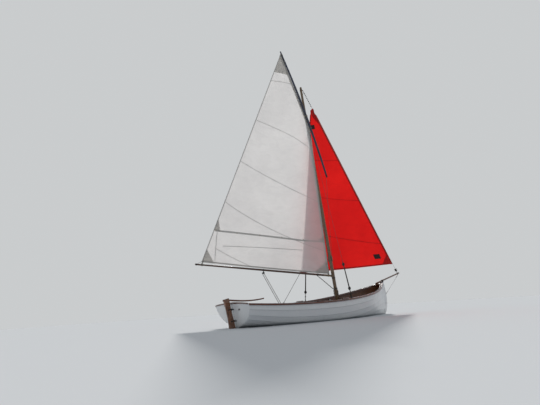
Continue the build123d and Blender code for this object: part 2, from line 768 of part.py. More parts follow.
# Breasthook between the sheer strakes at the bow, sloped with the sheer
HOOK_THICKNESS = 24
hook_x = [1975, 2030, 2085, 2140]
hook_aft_z = at_x(INNER[-1], hook_x[0])[1]
hook_slope = (at_x(INNER[-1], hook_x[-1])[1] - hook_aft_z) / (hook_x[-1] - hook_x[0])
hook_run = (1 + hook_slope**2) ** 0.5
hook_plane = Plane(origin=(hook_x[0], 0, hook_aft_z), x_dir=(1, 0, hook_slope), z_dir=(-hook_slope, 0, 1))
hook_side = []
for x in hook_x:
    low_z = hook_aft_z + hook_slope * (x - hook_x[0]) - HOOK_THICKNESS * 1.3
    half = max(inside_y(x + HOOK_THICKNESS * hook_slope, low_z, 3 * FIT), 21)
    hook_side.append(((x - hook_x[0]) * hook_run, half))
with BuildPart() as breasthook:
    with BuildSketch(hook_plane):
        with BuildLine():
            Polyline(*hook_side, *[(u, -y) for u, y in reversed(hook_side)])
            ThreePointArc(
                (hook_side[0][0], -hook_side[0][1]),
                (hook_side[0][0] + 62, 0),
                hook_side[0],
            )
        make_face()
    extrude(amount=-HOOK_THICKNESS)
breasthook.part.label = "breasthook"
export_step(breasthook.part, "parts/breasthook.step")

# Quarter knees between the inwales and the transom
QUARTER_ARM = 190
with BuildPart() as quarter_knees:
    knee_z = at_x(INNER[-1], -2120)[1] - 8
    knee_x = transom_x(knee_z - 24) + TRANSOM_THICKNESS / cos(radians(TRANSOM_RAKE)) + 2 * FIT
    aft_y = inside_y(knee_x, knee_z - 24, RIB_MOULDED + 3 * FIT) - INWALE_WIDTH - 3.4
    ahead_y = inside_y(knee_x + QUARTER_ARM, knee_z - 24, RIB_MOULDED + 3 * FIT) - INWALE_WIDTH - 3.4
    with BuildSketch(Plane.XY.offset(knee_z)):
        with BuildLine():
            Polyline((knee_x + QUARTER_ARM, ahead_y - 12), (knee_x + QUARTER_ARM, ahead_y), (knee_x, aft_y))
            Polyline((knee_x, aft_y), (knee_x, aft_y - QUARTER_ARM), (knee_x + 12, aft_y - QUARTER_ARM))
            ThreePointArc(
                (knee_x + 12, aft_y - QUARTER_ARM),
                (knee_x + QUARTER_ARM * 0.34, aft_y - QUARTER_ARM * 0.34),
                (knee_x + QUARTER_ARM, ahead_y - 12),
            )
        make_face()
    extrude(amount=-22)
    mirror(about=Plane.XZ)
quarter_knees.part.label = "quarter_knees"
export_step(quarter_knees.part, "parts/quarter_knees.step")

# Chock under the heel of the bowsprit, on the breasthook
CHOCK_X = 2022
with BuildPart() as chock:
    with BuildSketch(Plane.XZ):
        hook_here = hook_aft_z + hook_slope * (CHOCK_X - 30 - hook_x[0]) + FIT
        hook_ahead = hook_aft_z + hook_slope * (CHOCK_X + 30 - hook_x[0]) + FIT
        with BuildLine():
            Polyline(
                (CHOCK_X - 30, hook_here),
                (CHOCK_X + 30, hook_ahead),
                (CHOCK_X + 30, sprit_point(CHOCK_X + 30).Z),
                (CHOCK_X - 30, sprit_point(CHOCK_X - 30).Z),
                close=True,
            )
        make_face()
    extrude(amount=SPRIT_RADIUS + 10, both=True)
    with BuildSketch(sprit_plane.offset(-200)):
        Circle(SPRIT_RADIUS + FIT)
    extrude(amount=sprit_length, mode=Mode.SUBTRACT)
chock.part.label = "bowsprit_chock"
export_step(chock.part, "parts/bowsprit_chock.step")

# Gammon iron: a band round the bowsprit with two straps down the sides of the stem head
GAMMON_X = 2222
GAMMON_WIDTH = 30
GAMMON_PLATE = 3.5
GAMMON_LEG = 36
gammon_side = SPRIT_RADIUS + FIT + GAMMON_PLATE / 2
gammon_centre = sprit_point(GAMMON_X)
with BuildPart() as gammon:
    with BuildSketch(Plane(origin=gammon_centre, x_dir=(0, 1, 0), z_dir=sprit_direction)):
        Circle(SPRIT_RADIUS + FIT + GAMMON_PLATE)
        Circle(SPRIT_RADIUS + FIT, mode=Mode.SUBTRACT)
        with Locations((0, -50)):
            Rectangle(100, 100, mode=Mode.SUBTRACT)
        with Locations((gammon_side, -GAMMON_LEG / 2), (-gammon_side, -GAMMON_LEG / 2)):
            Rectangle(GAMMON_PLATE, GAMMON_LEG)
    extrude(amount=GAMMON_WIDTH / 2, both=True)
gammon.part.label = "gammon_iron"
export_step(gammon.part, "parts/gammon_iron.step")

# Band at the outer end of the bowsprit, with eyes for the jib tack and the bobstay
CRANSE_X = 2868
CRANSE_BORE = SPRIT_RADIUS - 1.5
cranse_centre = sprit_point(CRANSE_X)
cranse_plane = Plane(origin=cranse_centre, x_dir=(0, 1, 0), z_dir=sprit_direction)
with BuildPart() as cranse:
    with BuildSketch(cranse_plane):
        Circle(CRANSE_BORE + 3)
        Circle(CRANSE_BORE, mode=Mode.SUBTRACT)
    extrude(amount=11, both=True)
    for side in (1, -1):
        with BuildSketch(Plane.XZ):
            with Locations((cranse_centre.X - side * 6, cranse_centre.Z + side * (SPRIT_RADIUS + 12))):
                SlotOverall(22, 16, rotation=90)
                Circle(3.5, mode=Mode.SUBTRACT)
        extrude(amount=3, both=True)
cranse.part.label = "cranse_iron"
export_step(cranse.part, "parts/cranse_iron.step")


# Bobstay from the band down to an eye on the stem
def stem_front_x(z):
    return float(np.interp(z, [p[1] for p in stem_outer], [p[0] for p in stem_outer]))


STEM_EYE_RADIUS = 11
BOBSTAY_SHORT = 8
# Eyes on the stem's fore side: height, and how far the eye's centre stands off it
BOW_EYE_Z = 250
STEM_EYES = [(BOBSTAY_FOOT_Z, 17.5), (BOW_EYE_Z, 15.6)]
bob_eye = Vector(stem_front_x(BOBSTAY_FOOT_Z) + STEM_EYES[0][1], 0, BOBSTAY_FOOT_Z)
bob_top = Vector(cranse_centre.X + 6, 0, cranse_centre.Z - SPRIT_RADIUS - 16)
bob_direction = (bob_top - bob_eye).normalized()
with BuildPart() as bobstay:
    with BuildSketch(Plane(origin=bob_eye + bob_direction * (STEM_EYE_RADIUS + SEAT), z_dir=bob_direction)):
        Circle(WIRE_RADIUS)
    extrude(amount=(bob_top - bob_eye).length - STEM_EYE_RADIUS - BOBSTAY_SHORT)
bobstay.part.label = "bobstay"
export_step(bobstay.part, "parts/bobstay.step")

# Eye plates on the stem: one for the bobstay, one for towing and mooring
with BuildPart() as eyes:
    for z, stand_off in STEM_EYES:
        eye_x = stem_front_x(z) + stand_off
        with BuildSketch(Plane.XZ):
            with Locations((eye_x, z)):
                Circle(STEM_EYE_RADIUS)
            with Locations((eye_x - 6.5, z)):
                Rectangle(14, 2 * STEM_EYE_RADIUS)
            with Locations((eye_x, z)):
                Circle(6, mode=Mode.SUBTRACT)
        extrude(amount=3.5, both=True)
eyes.part.label = "stem_eyes"
export_step(eyes.part, "parts/stem_eyes.step")

# Boom, round and tapered, from behind the mast to the clew outhaul
boom_start = rig_point(0, BOOM_Z)
boom_end = rig_point(BOOM_END_A, BOOM_END_Z)
boom_direction = (boom_end - boom_start).normalized()
boom_length = (boom_end - boom_start).length
JAW_RING = 18
BOOM_BUTT = MAST_RADIUS + JAW_GAP + JAW_RING + 7
boom_across = mast_direction.cross(boom_direction).normalized()
boom_plane = Plane(origin=boom_start, x_dir=boom_across, z_dir=boom_direction)
with BuildPart() as boom:
    boom_ends = [(BOOM_BUTT, BOOM_RADIUS), (boom_length * 0.5, BOOM_RADIUS)]
    for s, radius in boom_ends + [(boom_length, BOOM_RADIUS - 4)]:
        with BuildSketch(boom_plane.offset(s)):
            Circle(radius)
    loft(ruled=True)
boom.part.label = "boom"
export_step(boom.part, "parts/boom.step")

# Jaws: two cheeks on the boom and a ring open at the front, which turns round the mast
jaw_x = (boom_direction - mast_direction * boom_direction.dot(mast_direction)).normalized()
with BuildPart() as jaws:
    with BuildSketch(Plane(origin=boom_start, x_dir=jaw_x, z_dir=mast_direction)):
        Circle(MAST_RADIUS + JAW_GAP + JAW_RING)
        Circle(MAST_RADIUS + JAW_GAP, mode=Mode.SUBTRACT)
        with Locations((-MAST_RADIUS - 12, 0)):
            Rectangle(60, 160, mode=Mode.SUBTRACT)
    extrude(amount=21, both=True)
    for side in (1, -1):
        cheek_middle = boom_start + boom_across * side * 28
        with BuildSketch(Plane(origin=cheek_middle, x_dir=boom_direction, z_dir=boom_across)):
            with BuildLine():
                Polyline((46, -20), (46, 20), (150, 18), (240, 10), (240, -10), (150, -18), close=True)
            make_face()
        extrude(amount=5.5, both=True)
jaws.part.label = "jaws"
export_step(jaws.part, "parts/jaws.step")


# Yard: slightly bowed, thickest in the middle, beside the mast
def yard_axis(t):
    """a and z of the yard's centre line, t from 0 at its heel to 1 at its peak."""
    weights = ((1 - t) * (1 - 2 * t), 4 * t * (1 - t), t * (2 * t - 1))
    return [sum(w * p[i] for w, p in zip(weights, (YARD_HEEL, YARD_MIDDLE, YARD_PEAK))) for i in range(2)]


def yard_point(t):
    a, z = yard_axis(t)
    return rig_point(a, z, RIG_OFFSET)


with BuildPart() as yard:
    for t, radius in YARD_RINGS:
        run = yard_point(min(t + 0.01, 1)) - yard_point(max(t - 0.01, 0))
        with BuildSketch(Plane(origin=yard_point(t), x_dir=ACROSS_BOOM, z_dir=run)):
            Circle(radius)
    loft()
yard.part.label = "yard"
export_step(yard.part, "parts/yard.step")


# Sails: thin bellied sheets, each lofted through arcs from luff to leech
def sail_section(luff, leech, outward, belly, cloth):
    """Plane of one section, its chord, and the sketch curves' belly and half thickness."""
    chord = leech - luff
    x_dir = chord.normalized()
    y_dir = (outward - x_dir * outward.dot(x_dir)).normalized()
    plane = Plane(origin=luff, x_dir=x_dir, z_dir=x_dir.cross(y_dir))
    return plane, chord.length, belly * chord.length, cloth / 2


def blend(start, end, v):
    return start + (end - start) * v


main_tack = rig_point(*SAIL_TACK, SAIL_LUFF_SIDES[0])
main_clew = rig_point(*SAIL_CLEW, 0)
main_throat = rig_point(*SAIL_THROAT, SAIL_LUFF_SIDES[1])
main_peak = rig_point(*SAIL_PEAK, RIG_OFFSET)
with BuildPart() as mainsail:
    for v, belly in ((0, 0.015), (0.3, 0.07), (0.65, 0.07), (1, 0.012)):
        luff = blend(main_tack, main_throat, v)
        leech = blend(main_clew, main_peak, v)
        plane, chord, depth, half = sail_section(luff, leech, ACROSS_BOOM, belly, SAIL_CLOTH)
        with BuildSketch(plane):
            with BuildLine():
                ThreePointArc((0, half), (chord / 2, half - depth), (chord, half))
                Line((chord, half), (chord, -half))
                ThreePointArc((chord, -half), (chord / 2, -half - depth), (0, -half))
                Line((0, -half), (0, half))
            make_face()
    loft()
mainsail.part.label = "mainsail"
export_step(mainsail.part, "parts/mainsail.step")

jib_foot = Vector(*JIB_STAY_FOOT)
jib_head_point = Vector(*JIB_HEAD)
stay_direction = (jib_head_point - jib_foot).normalized()
LUFF_SETBACK = WIRE_RADIUS + 0.6
stay_aft = Vector(-stay_direction.Z, 0, stay_direction.X)


def stay_point(z):
    return jib_foot + stay_direction * ((z - jib_foot.Z) / stay_direction.Z)


jib_tack = stay_point(JIB_TACK_Z) + stay_aft * LUFF_SETBACK
jib_top = stay_point(JIB_HEAD[2]) + stay_aft * LUFF_SETBACK
jib_clew = Vector(*JIB_CLEW)
with BuildPart() as jib:
    for v, belly in ((0, 0.05), (0.35, 0.085), (0.7, 0.08), (1, 0.02)):
        luff = blend(jib_tack, jib_top, v)
        leech = blend(jib_clew, jib_top + Vector(-40, 14, -50), v)
        plane, chord, depth, half = sail_section(luff, leech, Vector(0, 1, 0), belly, JIB_CLOTH)
        with BuildSketch(plane):
            with BuildLine():
                ThreePointArc((0, half), (chord / 2, half + depth), (chord, half))
                Line((chord, half), (chord, -half))
                ThreePointArc((chord, -half), (chord / 2, depth - half), (0, -half))
                Line((0, -half), (0, half))
            make_face()
    loft()
jib.part.label = "jib"
export_step(jib.part, "parts/jib.step")

# Stay in the jib's luff, from its furling drum to the masthead
DRUM_TOP = 111
DRUM_FORK = 12.4
MASTHEAD_BAND_Z = MAST_TOP_Z - 75
mast_front = stay_point(MASTHEAD_BAND_Z - 2.2)
with BuildPart() as stay:
    with BuildSketch(Plane(origin=jib_foot + stay_direction * (DRUM_TOP + SEAT), z_dir=stay_direction)):
        Circle(WIRE_RADIUS)
    extrude(amount=(mast_front - jib_foot).length - DRUM_TOP - SEAT)
stay.part.label = "jib_stay"
export_step(stay.part, "parts/jib_stay.step")

# Furling drum: two flanges on a spool, with a fork to the bowsprit band
with BuildPart() as furler:
    with BuildSketch(Plane(origin=jib_foot + stay_direction * 56, z_dir=stay_direction)):
        Circle(FURLER_RADIUS)
    extrude(amount=4)
    with BuildSketch(Plane(origin=jib_foot + stay_direction * 56, z_dir=stay_direction)):
        Circle(14)
    extrude(amount=50)
    with BuildSketch(Plane(origin=jib_foot + stay_direction * 94, z_dir=stay_direction)):
        Circle(FURLER_RADIUS)
    extrude(amount=4)
    with BuildSketch(Plane(origin=jib_foot + stay_direction * DRUM_FORK, z_dir=stay_direction)):
        Circle(7)
    extrude(amount=58 - DRUM_FORK)
    with BuildSketch(Plane(origin=jib_foot + stay_direction * 98, z_dir=stay_direction)):
        Circle(6)
    extrude(amount=DRUM_TOP - 98)
furler.part.label = "furling_drum"
export_step(furler.part, "parts/furling_drum.step")


# Mast fittings: hounds band with tangs for the shrouds, masthead sheave box, cleats and vang strop eye
HOUNDS_BAND = 26
# Bands with a tang on the mast's fore side: height, and how far the tang reaches
MAST_BANDS = [(MASTHEAD_BAND_Z, 44), (BOOM_Z - 45, 14), (MAST_PARTNER_Z + 255, 14)]
hounds = mast_point(HOUNDS_Z)
hounds_radius = mast_radius(HOUNDS_Z)
with BuildPart() as fittings:
    with BuildSketch(Plane(origin=hounds, x_dir=(0, 1, 0), z_dir=mast_direction)):
        Circle(hounds_radius + FIT + 3)
        with Locations((hounds_radius + 8, 0), (-hounds_radius - 8, 0)):
            Rectangle(14, 5)
        Circle(hounds_radius + FIT, mode=Mode.SUBTRACT)
    extrude(amount=HOUNDS_BAND / 2, both=True)
    for z, tang in MAST_BANDS:
        radius = mast_radius(z)
        with BuildSketch(Plane(origin=mast_point(z), x_dir=(0, 1, 0), z_dir=mast_direction)):
            Circle(radius + FIT + 3)
            with Locations((0, -radius - 1 - tang / 2)):
                Rectangle(5, tang)
            Circle(radius + FIT, mode=Mode.SUBTRACT)
        extrude(amount=8, both=True)
fittings.part.label = "mast_bands"
export_step(fittings.part, "parts/mast_bands.step")

CLEAT_HEIGHTS = (1330, 570)
CLEAT_LENGTH = 130
with BuildPart() as cleats:
    for z in CLEAT_HEIGHTS:
        for side in (1, -1):
            cleat_plane = Plane(
                origin=mast_point(z) + Vector(0, side * (MAST_RADIUS + FIT), 0),
                x_dir=mast_direction,
                z_dir=Vector(0, side, 0),
            )
            with BuildSketch(cleat_plane):
                SlotOverall(60, 16)
            extrude(amount=16)
            with BuildSketch(cleat_plane.offset(16)):
                SlotOverall(CLEAT_LENGTH, 15)
            extrude(amount=10)
cleats.part.label = "mast_cleats"
export_step(cleats.part, "parts/mast_cleats.step")

# Fittings on the gunwale seat this far above the planking's edge
RAIL_SEAT = 1.7

# Chainplates through the gunwale: a plate along the top with an upstanding eye
chain_sheer = at_x(SHEER, CHAINPLATE_X)
chain_y = chain_sheer[0] + 2
chain_z = chain_sheer[1] + RAIL_SEAT - 1.4
EYE_RISE = 36
with BuildPart() as chainplates:
    with BuildSketch(Plane(origin=(CHAINPLATE_X, chain_y, 0), x_dir=(1, 0, 0), z_dir=(0, -1, 0))):
        with BuildLine():
            Polyline(
                (-38, chain_z - 2),
                (38, chain_z - 2 + 76 * 0.07),
                (38, chain_z + 1 + 76 * 0.07),
                (13, chain_z + 4),
                (11, chain_z + EYE_RISE),
                (-11, chain_z + EYE_RISE),
                (-13, chain_z + 4),
                (-38, chain_z + 1),
                close=True,
            )
        make_face()
        with Locations((0, chain_z + EYE_RISE - 11)):
            Circle(5, mode=Mode.SUBTRACT)
    extrude(amount=2.5, both=True)
    mirror(about=Plane.XZ)
chainplates.part.label = "chainplates"
export_step(chainplates.part, "parts/chainplates.step")

# Shrouds from the hounds, each set up with a lanyard between two blocks above its chainplate
UPPER_BLOCK = 700
LOWER_BLOCK = 180
BLOCK_RADIUS = 21
BLOCK_THICKNESS = 22
LANYARD_RADIUS = 5
LANYARD_FOOT = -2.2
shroud_top = hounds + Vector(0, hounds_radius + 19, 0)
shroud_foot = Vector(CHAINPLATE_X, chain_y, chain_z + EYE_RISE + 3)
shroud_direction = (shroud_top - shroud_foot).normalized()


def shroud_point(s):
    return shroud_foot + shroud_direction * s


shroud_length = (shroud_top - shroud_foot).length
with BuildPart() as shrouds:
    with BuildSketch(Plane(origin=shroud_point(UPPER_BLOCK + BLOCK_RADIUS + FIT), z_dir=shroud_direction)):
        Circle(WIRE_RADIUS)
    extrude(amount=shroud_length - UPPER_BLOCK - BLOCK_RADIUS - FIT)
    mirror(about=Plane.XZ)
shrouds.part.label = "shrouds"
export_step(shrouds.part, "parts/shrouds.step")

with BuildPart() as blocks:
    for s in (UPPER_BLOCK, LOWER_BLOCK):
        with BuildSketch(Plane(origin=shroud_point(s), x_dir=shroud_direction, z_dir=(1, 0, 0))):
            Circle(BLOCK_RADIUS)
        extrude(amount=BLOCK_THICKNESS / 2, both=True)
    mirror(about=Plane.XZ)
blocks.part.label = "shroud_blocks"
export_step(blocks.part, "parts/shroud_blocks.step")

with BuildPart() as lanyards:
    for low, high in ((0, LOWER_BLOCK), (LOWER_BLOCK, UPPER_BLOCK)):
        start = low + (BLOCK_RADIUS + FIT if low else LANYARD_FOOT)
        with BuildSketch(Plane(origin=shroud_point(start), z_dir=shroud_direction)):
            Circle(LANYARD_RADIUS)
        extrude(amount=high - BLOCK_RADIUS - FIT - start)
    mirror(about=Plane.XZ)
lanyards.part.label = "shroud_lanyards"
export_step(lanyards.part, "parts/shroud_lanyards.step")

# Sheet blocks: one hanging under the boom, one standing on the aft thwart
BOOM_BLOCK_A = 1600
boom_block_s = BOOM_BLOCK_A / boom_direction.dot(ALONG_BOOM)
with BuildPart() as boom_block:
    hang = boom_start + boom_direction * boom_block_s
    with BuildSketch(Plane(origin=hang, x_dir=ACROSS_BOOM, z_dir=boom_direction)):
        Circle(BOOM_RADIUS + FIT + 3)
        Circle(BOOM_RADIUS + FIT, mode=Mode.SUBTRACT)
    extrude(amount=12, both=True)
    block_middle = hang - Vector(0, 0, BOOM_RADIUS + 42)
    with BuildSketch(Plane(origin=block_middle, x_dir=(1, 0, 0), z_dir=ACROSS_BOOM)):
        Circle(24)
        with Locations((0, 0)):
            Rectangle(12, 10)
    extrude(amount=11, both=True)
    neck_top = hang - Vector(0, 0, BOOM_RADIUS + 2)
    with BuildSketch(Plane(origin=neck_top, x_dir=ALONG_BOOM, z_dir=(0, 0, -1))):
        Rectangle(12, 12)
    extrude(amount=30)
boom_block.part.label = "boom_block"
export_step(boom_block.part, "parts/boom_block.step")

with BuildPart() as thwart_block:
    with BuildSketch(Plane.XY.offset(SEAT_TOP + 0.4)):
        with Locations((SHEET_BLOCK_X, 0)):
            Circle(32)
    extrude(amount=5)
    with BuildSketch(Plane.XY.offset(SEAT_TOP + 5)):
        with Locations((SHEET_BLOCK_X, 0)):
            Circle(11)
    extrude(amount=30)
    with BuildSketch(Plane(origin=(SHEET_BLOCK_X, 0, SEAT_TOP + 60), x_dir=(1, 0, 0), z_dir=(0, -1, 0))):
        Circle(29)
    extrude(amount=13, both=True)
thwart_block.part.label = "thwart_block"
export_step(thwart_block.part, "parts/thwart_block.step")

# Jib sheet fairleads and rowlock sockets on the gunwale
FAIRLEAD_X = -370
ROWLOCK_BORE = 6.5


def rail_z(x):
    return at_x(SHEER, x)[1]


def rail_slope(x):
    return (rail_z(x + 30) - rail_z(x - 30)) / 60


with BuildPart() as fairleads:
    x = FAIRLEAD_X
    tilt = rail_slope(x)
    foot = (x, at_x(SHEER, x)[0] + 4, rail_z(x) + RAIL_SEAT)
    plane = Plane(origin=foot, x_dir=(1, 0, tilt), z_dir=(-tilt, 0, 1))
    with BuildSketch(plane):
        SlotOverall(76, 22)
    extrude(amount=4)
    with BuildSketch(Plane(origin=plane.origin + Vector(0, 0, 17), x_dir=(1, 0, 0), z_dir=(0, -1, 0))):
        Circle(15)
        Circle(9, mode=Mode.SUBTRACT)
    extrude(amount=5, both=True)
    mirror(about=Plane.XZ)
fairleads.part.label = "jib_fairleads"
export_step(fairleads.part, "parts/jib_fairleads.step")

with BuildPart() as rowlocks:
    for x, seat in ROWLOCKS:
        tilt = rail_slope(x)
        foot = (x, at_x(SHEER, x)[0] - 8, rail_z(x) + seat)
        plane = Plane(origin=foot, x_dir=(1, 0, tilt), z_dir=(-tilt, 0, 1))
        with BuildSketch(plane):
            RectangleRounded(190, 44, 8)
            Circle(ROWLOCK_BORE, mode=Mode.SUBTRACT)
        extrude(amount=16)
    mirror(about=Plane.XZ)
rowlocks.part.label = "rowlock_pads"
export_step(rowlocks.part, "parts/rowlock_pads.step")

# Rudder, hung on two pintles behind the transom
rake = radians(TRANSOM_RAKE)
pivot_foot = Vector(TRANSOM_FOOT_X - PIVOT_SETBACK / cos(rake), 0, 0)
pivot_up = Vector(-sin(rake), 0, cos(rake))
pivot_aft = Vector(-cos(rake), 0, -sin(rake))


def pivot_point(z, aft=0.0):
    """A point on the rudder's axis at height z, and aft of it square to the axis."""
    return pivot_foot + pivot_up * (z / cos(rake)) + pivot_aft * aft


rudder_plane = Plane(origin=pivot_foot, x_dir=pivot_aft, z_dir=pivot_aft.cross(pivot_up))
LEADING_EDGE = 13
RUDDER_HEAD = 575
RUDDER_TIP = -590
TILLER_DEPTH = 34
TILLER_WIDTH = 30
CHEEK = 12
TILLER_Z = 515
with BuildPart() as rudder:
    with BuildSketch(rudder_plane) as blade_outline:
        with BuildLine():
            Polyline(
                (LEADING_EDGE, RUDDER_TIP + 60),
                (LEADING_EDGE, RUDDER_HEAD),
                (LEADING_EDGE + 104, RUDDER_HEAD),
                (LEADING_EDGE + 106, 420),
                (LEADING_EDGE + 112, 200),
                (LEADING_EDGE + 138, 0),
            )
            ThreePointArc(
                (LEADING_EDGE + 138, 0),
                (LEADING_EDGE + 296, -330),
                (LEADING_EDGE + 250, RUDDER_TIP + 24),
            )
            Polyline(
                (LEADING_EDGE + 250, RUDDER_TIP + 24),
                (LEADING_EDGE + 205, RUDDER_TIP),
                (LEADING_EDGE + 60, RUDDER_TIP),
                (LEADING_EDGE, RUDDER_TIP + 60),
            )
        make_face()
    extrude(amount=RUDDER_THICKNESS / 2, both=True)
    with BuildSketch(rudder_plane):
        with BuildLine():
            Polyline(
                (LEADING_EDGE, 440),
                (LEADING_EDGE, RUDDER_HEAD),
                (LEADING_EDGE + 104, RUDDER_HEAD),
                (LEADING_EDGE + 106, 440),
                close=True,
            )
        make_face()
    extrude(amount=RUDDER_THICKNESS / 2 + CHEEK, both=True)
    with BuildSketch(Plane.YZ.offset(pivot_foot.X - 400)):
        with Locations((0, TILLER_Z)):
            Rectangle(TILLER_WIDTH + 2 * FIT, TILLER_DEPTH + 2 * FIT)
    extrude(amount=600, mode=Mode.SUBTRACT)
rudder.part.label = "rudder"
export_step(rudder.part, "parts/rudder.step")

# Tiller through the rudder head, dipping over the transom and rising to its grip
tiller_aft = pivot_point(TILLER_Z, LEADING_EDGE + 128).X
TILLER_DIP = 26
tiller_length = TILLER_END_X - tiller_aft


def tiller_centre(x):
    u = (x - tiller_aft - 150) / (tiller_length - 150)
    return TILLER_Z if u <= 0 else TILLER_Z - TILLER_DIP * sin(radians(180 * min(u * 0.8, 1))) + 22 * u**3


with BuildPart() as tiller:
    with BuildSketch(Plane.YZ.offset(tiller_aft)):
        with Locations((0, TILLER_Z)):
            Rectangle(TILLER_WIDTH, TILLER_DEPTH)
    extrude(amount=150)
    stations = ((150, 1.0), (330, 0.94), (520, 0.88), (700, 0.82), (tiller_length, 0.76))
    for s, share in stations:
        x = tiller_aft + s
        with BuildSketch(Plane.YZ.offset(x)):
            with Locations((0, tiller_centre(x))):
                RectangleRounded(TILLER_WIDTH * share, TILLER_DEPTH * share, 7)
    loft()
tiller.part.label = "tiller"
export_step(tiller.part, "parts/tiller.step")

# Gudgeons on the transom and pintles on the rudder, one pair at each height
EYE_RADIUS = 10
EYE_HEIGHT = 17
STRAP = 3
with BuildPart() as gudgeons:
    for z in GUDGEONS_Z:
        eye_plane = Plane(origin=pivot_point(z), x_dir=pivot_aft, z_dir=pivot_up)
        with BuildSketch(eye_plane):
            Circle(EYE_RADIUS)
            with Locations(((STRAP + 0.4 - PIVOT_SETBACK) / 2 + 0.2, 0)):
                Rectangle(PIVOT_SETBACK - 0.4, 2 * EYE_RADIUS - 4)
            with Locations((-PIVOT_SETBACK + 0.4 + STRAP / 2, 0)):
                Rectangle(STRAP, 92)
            Circle(PINTLE_RADIUS + 0.4, mode=Mode.SUBTRACT)
        extrude(amount=EYE_HEIGHT)
gudgeons.part.label = "gudgeons"
export_step(gudgeons.part, "parts/gudgeons.step")

with BuildPart() as pintles:
    for z in GUDGEONS_Z:
        strap_middle = pivot_point(z) + pivot_up * (EYE_HEIGHT + 0.6)
        strap_plane = Plane(origin=strap_middle, x_dir=pivot_aft, z_dir=pivot_up)
        with BuildSketch(strap_plane):
            Circle(EYE_RADIUS)
            with Locations((46, 0)):
                Rectangle(80, RUDDER_THICKNESS + 2 * STRAP + 0.8)
            with Locations((LEADING_EDGE - 0.5 + 100, 0)):
                Rectangle(200, RUDDER_THICKNESS + 0.8, mode=Mode.SUBTRACT)
        extrude(amount=EYE_HEIGHT)
        with BuildSketch(Plane(origin=pivot_point(z) - pivot_up * 6, z_dir=pivot_up)):
            Circle(PINTLE_RADIUS)
        extrude(amount=EYE_HEIGHT + 10)
pintles.part.label = "pintles"
export_step(pintles.part, "parts/pintles.step")
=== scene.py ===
from math import atan, cos, hypot, pi, radians, sin

import bpy
from mathutils import Matrix, Vector


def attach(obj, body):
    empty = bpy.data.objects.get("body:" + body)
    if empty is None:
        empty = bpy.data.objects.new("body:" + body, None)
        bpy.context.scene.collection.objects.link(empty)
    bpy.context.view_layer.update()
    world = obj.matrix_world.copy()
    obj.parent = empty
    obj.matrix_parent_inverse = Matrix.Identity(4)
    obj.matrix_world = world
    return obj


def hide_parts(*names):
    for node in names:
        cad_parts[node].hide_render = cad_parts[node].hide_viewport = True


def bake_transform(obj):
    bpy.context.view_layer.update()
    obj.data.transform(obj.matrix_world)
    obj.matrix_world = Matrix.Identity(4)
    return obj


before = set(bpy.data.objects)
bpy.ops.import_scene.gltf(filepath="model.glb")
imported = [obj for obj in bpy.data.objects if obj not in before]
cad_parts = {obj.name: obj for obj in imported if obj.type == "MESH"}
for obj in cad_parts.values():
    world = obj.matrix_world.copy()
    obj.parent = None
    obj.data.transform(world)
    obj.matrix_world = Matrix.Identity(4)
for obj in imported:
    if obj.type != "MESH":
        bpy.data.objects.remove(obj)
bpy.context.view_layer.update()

# Planking, spars and sails, as in the CAD model
STRAKES = 7
MAST_RAKE = 0.590 / 5.070
MAST_TOP_Z = 5.470
BOOM_ANGLE = radians(27)
YARD_SIDE = 0.0551
YARD_HEEL = (-0.240, 3.256)
YARD_MIDDLE = (0.016, 4.780)
YARD_PEAK = (0.370, 6.348)
YARD_RADII = ((0, 0.020), (0.25, 0.025), (0.5, 0.026), (0.75, 0.023), (1, 0.015))
HEAD_START, HEAD_END = 0.372, 0.9795  # the part of the yard that the mainsail's head lies along
BOOM_START_Z = 0.940
BOOM_END = (3.045, 1.338)
BOOM_RADIUS = 0.022
MAST_RADIUS = 0.038
MAST_TOP_RADIUS = 0.026
MAST_TAPER_Z = 2.0
JIB_STAY_FOOT = Vector((2.862, 0, 1.004))
JIB_STAY_HEAD = Vector((0.330, 0, 4.990))
JIB_TACK_Z = 1.225
JIB_CLEW = Vector((0.157, 0.720, 1.075))

FORE = Vector((1, 0, 0))
PORT = Vector((0, 1, 0))
STARBOARD = Vector((0, -1, 0))
DOWN = Vector((0, 0, -1))
along_boom = Vector((-cos(BOOM_ANGLE), sin(BOOM_ANGLE), 0))
across_boom = Vector((-sin(BOOM_ANGLE), -cos(BOOM_ANGLE), 0))
up_mast = Vector((-MAST_RAKE, 0, 1)).normalized()
stay_up = (JIB_STAY_HEAD - JIB_STAY_FOOT).normalized()
stay_aft = Vector((-stay_up.z, 0, stay_up.x))


def mast_point(z):
    return Vector((MAST_RAKE * (MAST_TOP_Z - z), 0, z))


def mast_radius(z):
    taper = min(max((z - MAST_TAPER_Z) / (MAST_TOP_Z - MAST_TAPER_Z), 0), 1)
    return MAST_RADIUS + (MAST_TOP_RADIUS - MAST_RADIUS) * taper


def rig_point(a, z, side=0.0):
    """A point a metres aft of the mast in the boom's plane, side metres to starboard of it."""
    return mast_point(z) + along_boom * a + across_boom * side


def boom_point(a, under=0.0):
    """A point on the boom's middle line, or under metres below it."""
    z = BOOM_START_Z + (BOOM_END[1] - BOOM_START_Z) * a / BOOM_END[0]
    return rig_point(a, z - under)


def yard_point(t, aft=0.0):
    """A point on the yard's bent middle line, t from 0 at the heel to 1 at the peak."""
    weights = ((1 - t) * (1 - 2 * t), 4 * t * (1 - t), t * (2 * t - 1))
    places = (YARD_HEEL, YARD_MIDDLE, YARD_PEAK)
    a = sum(w * p[0] for w, p in zip(weights, places))
    z = sum(w * p[1] for w, p in zip(weights, places))
    return rig_point(a + aft, z, YARD_SIDE)


def yard_radius(t):
    return interpolate(t, YARD_RADII)


def stay_point(z):
    return JIB_STAY_FOOT + stay_up * ((z - JIB_STAY_FOOT.z) / stay_up.z)


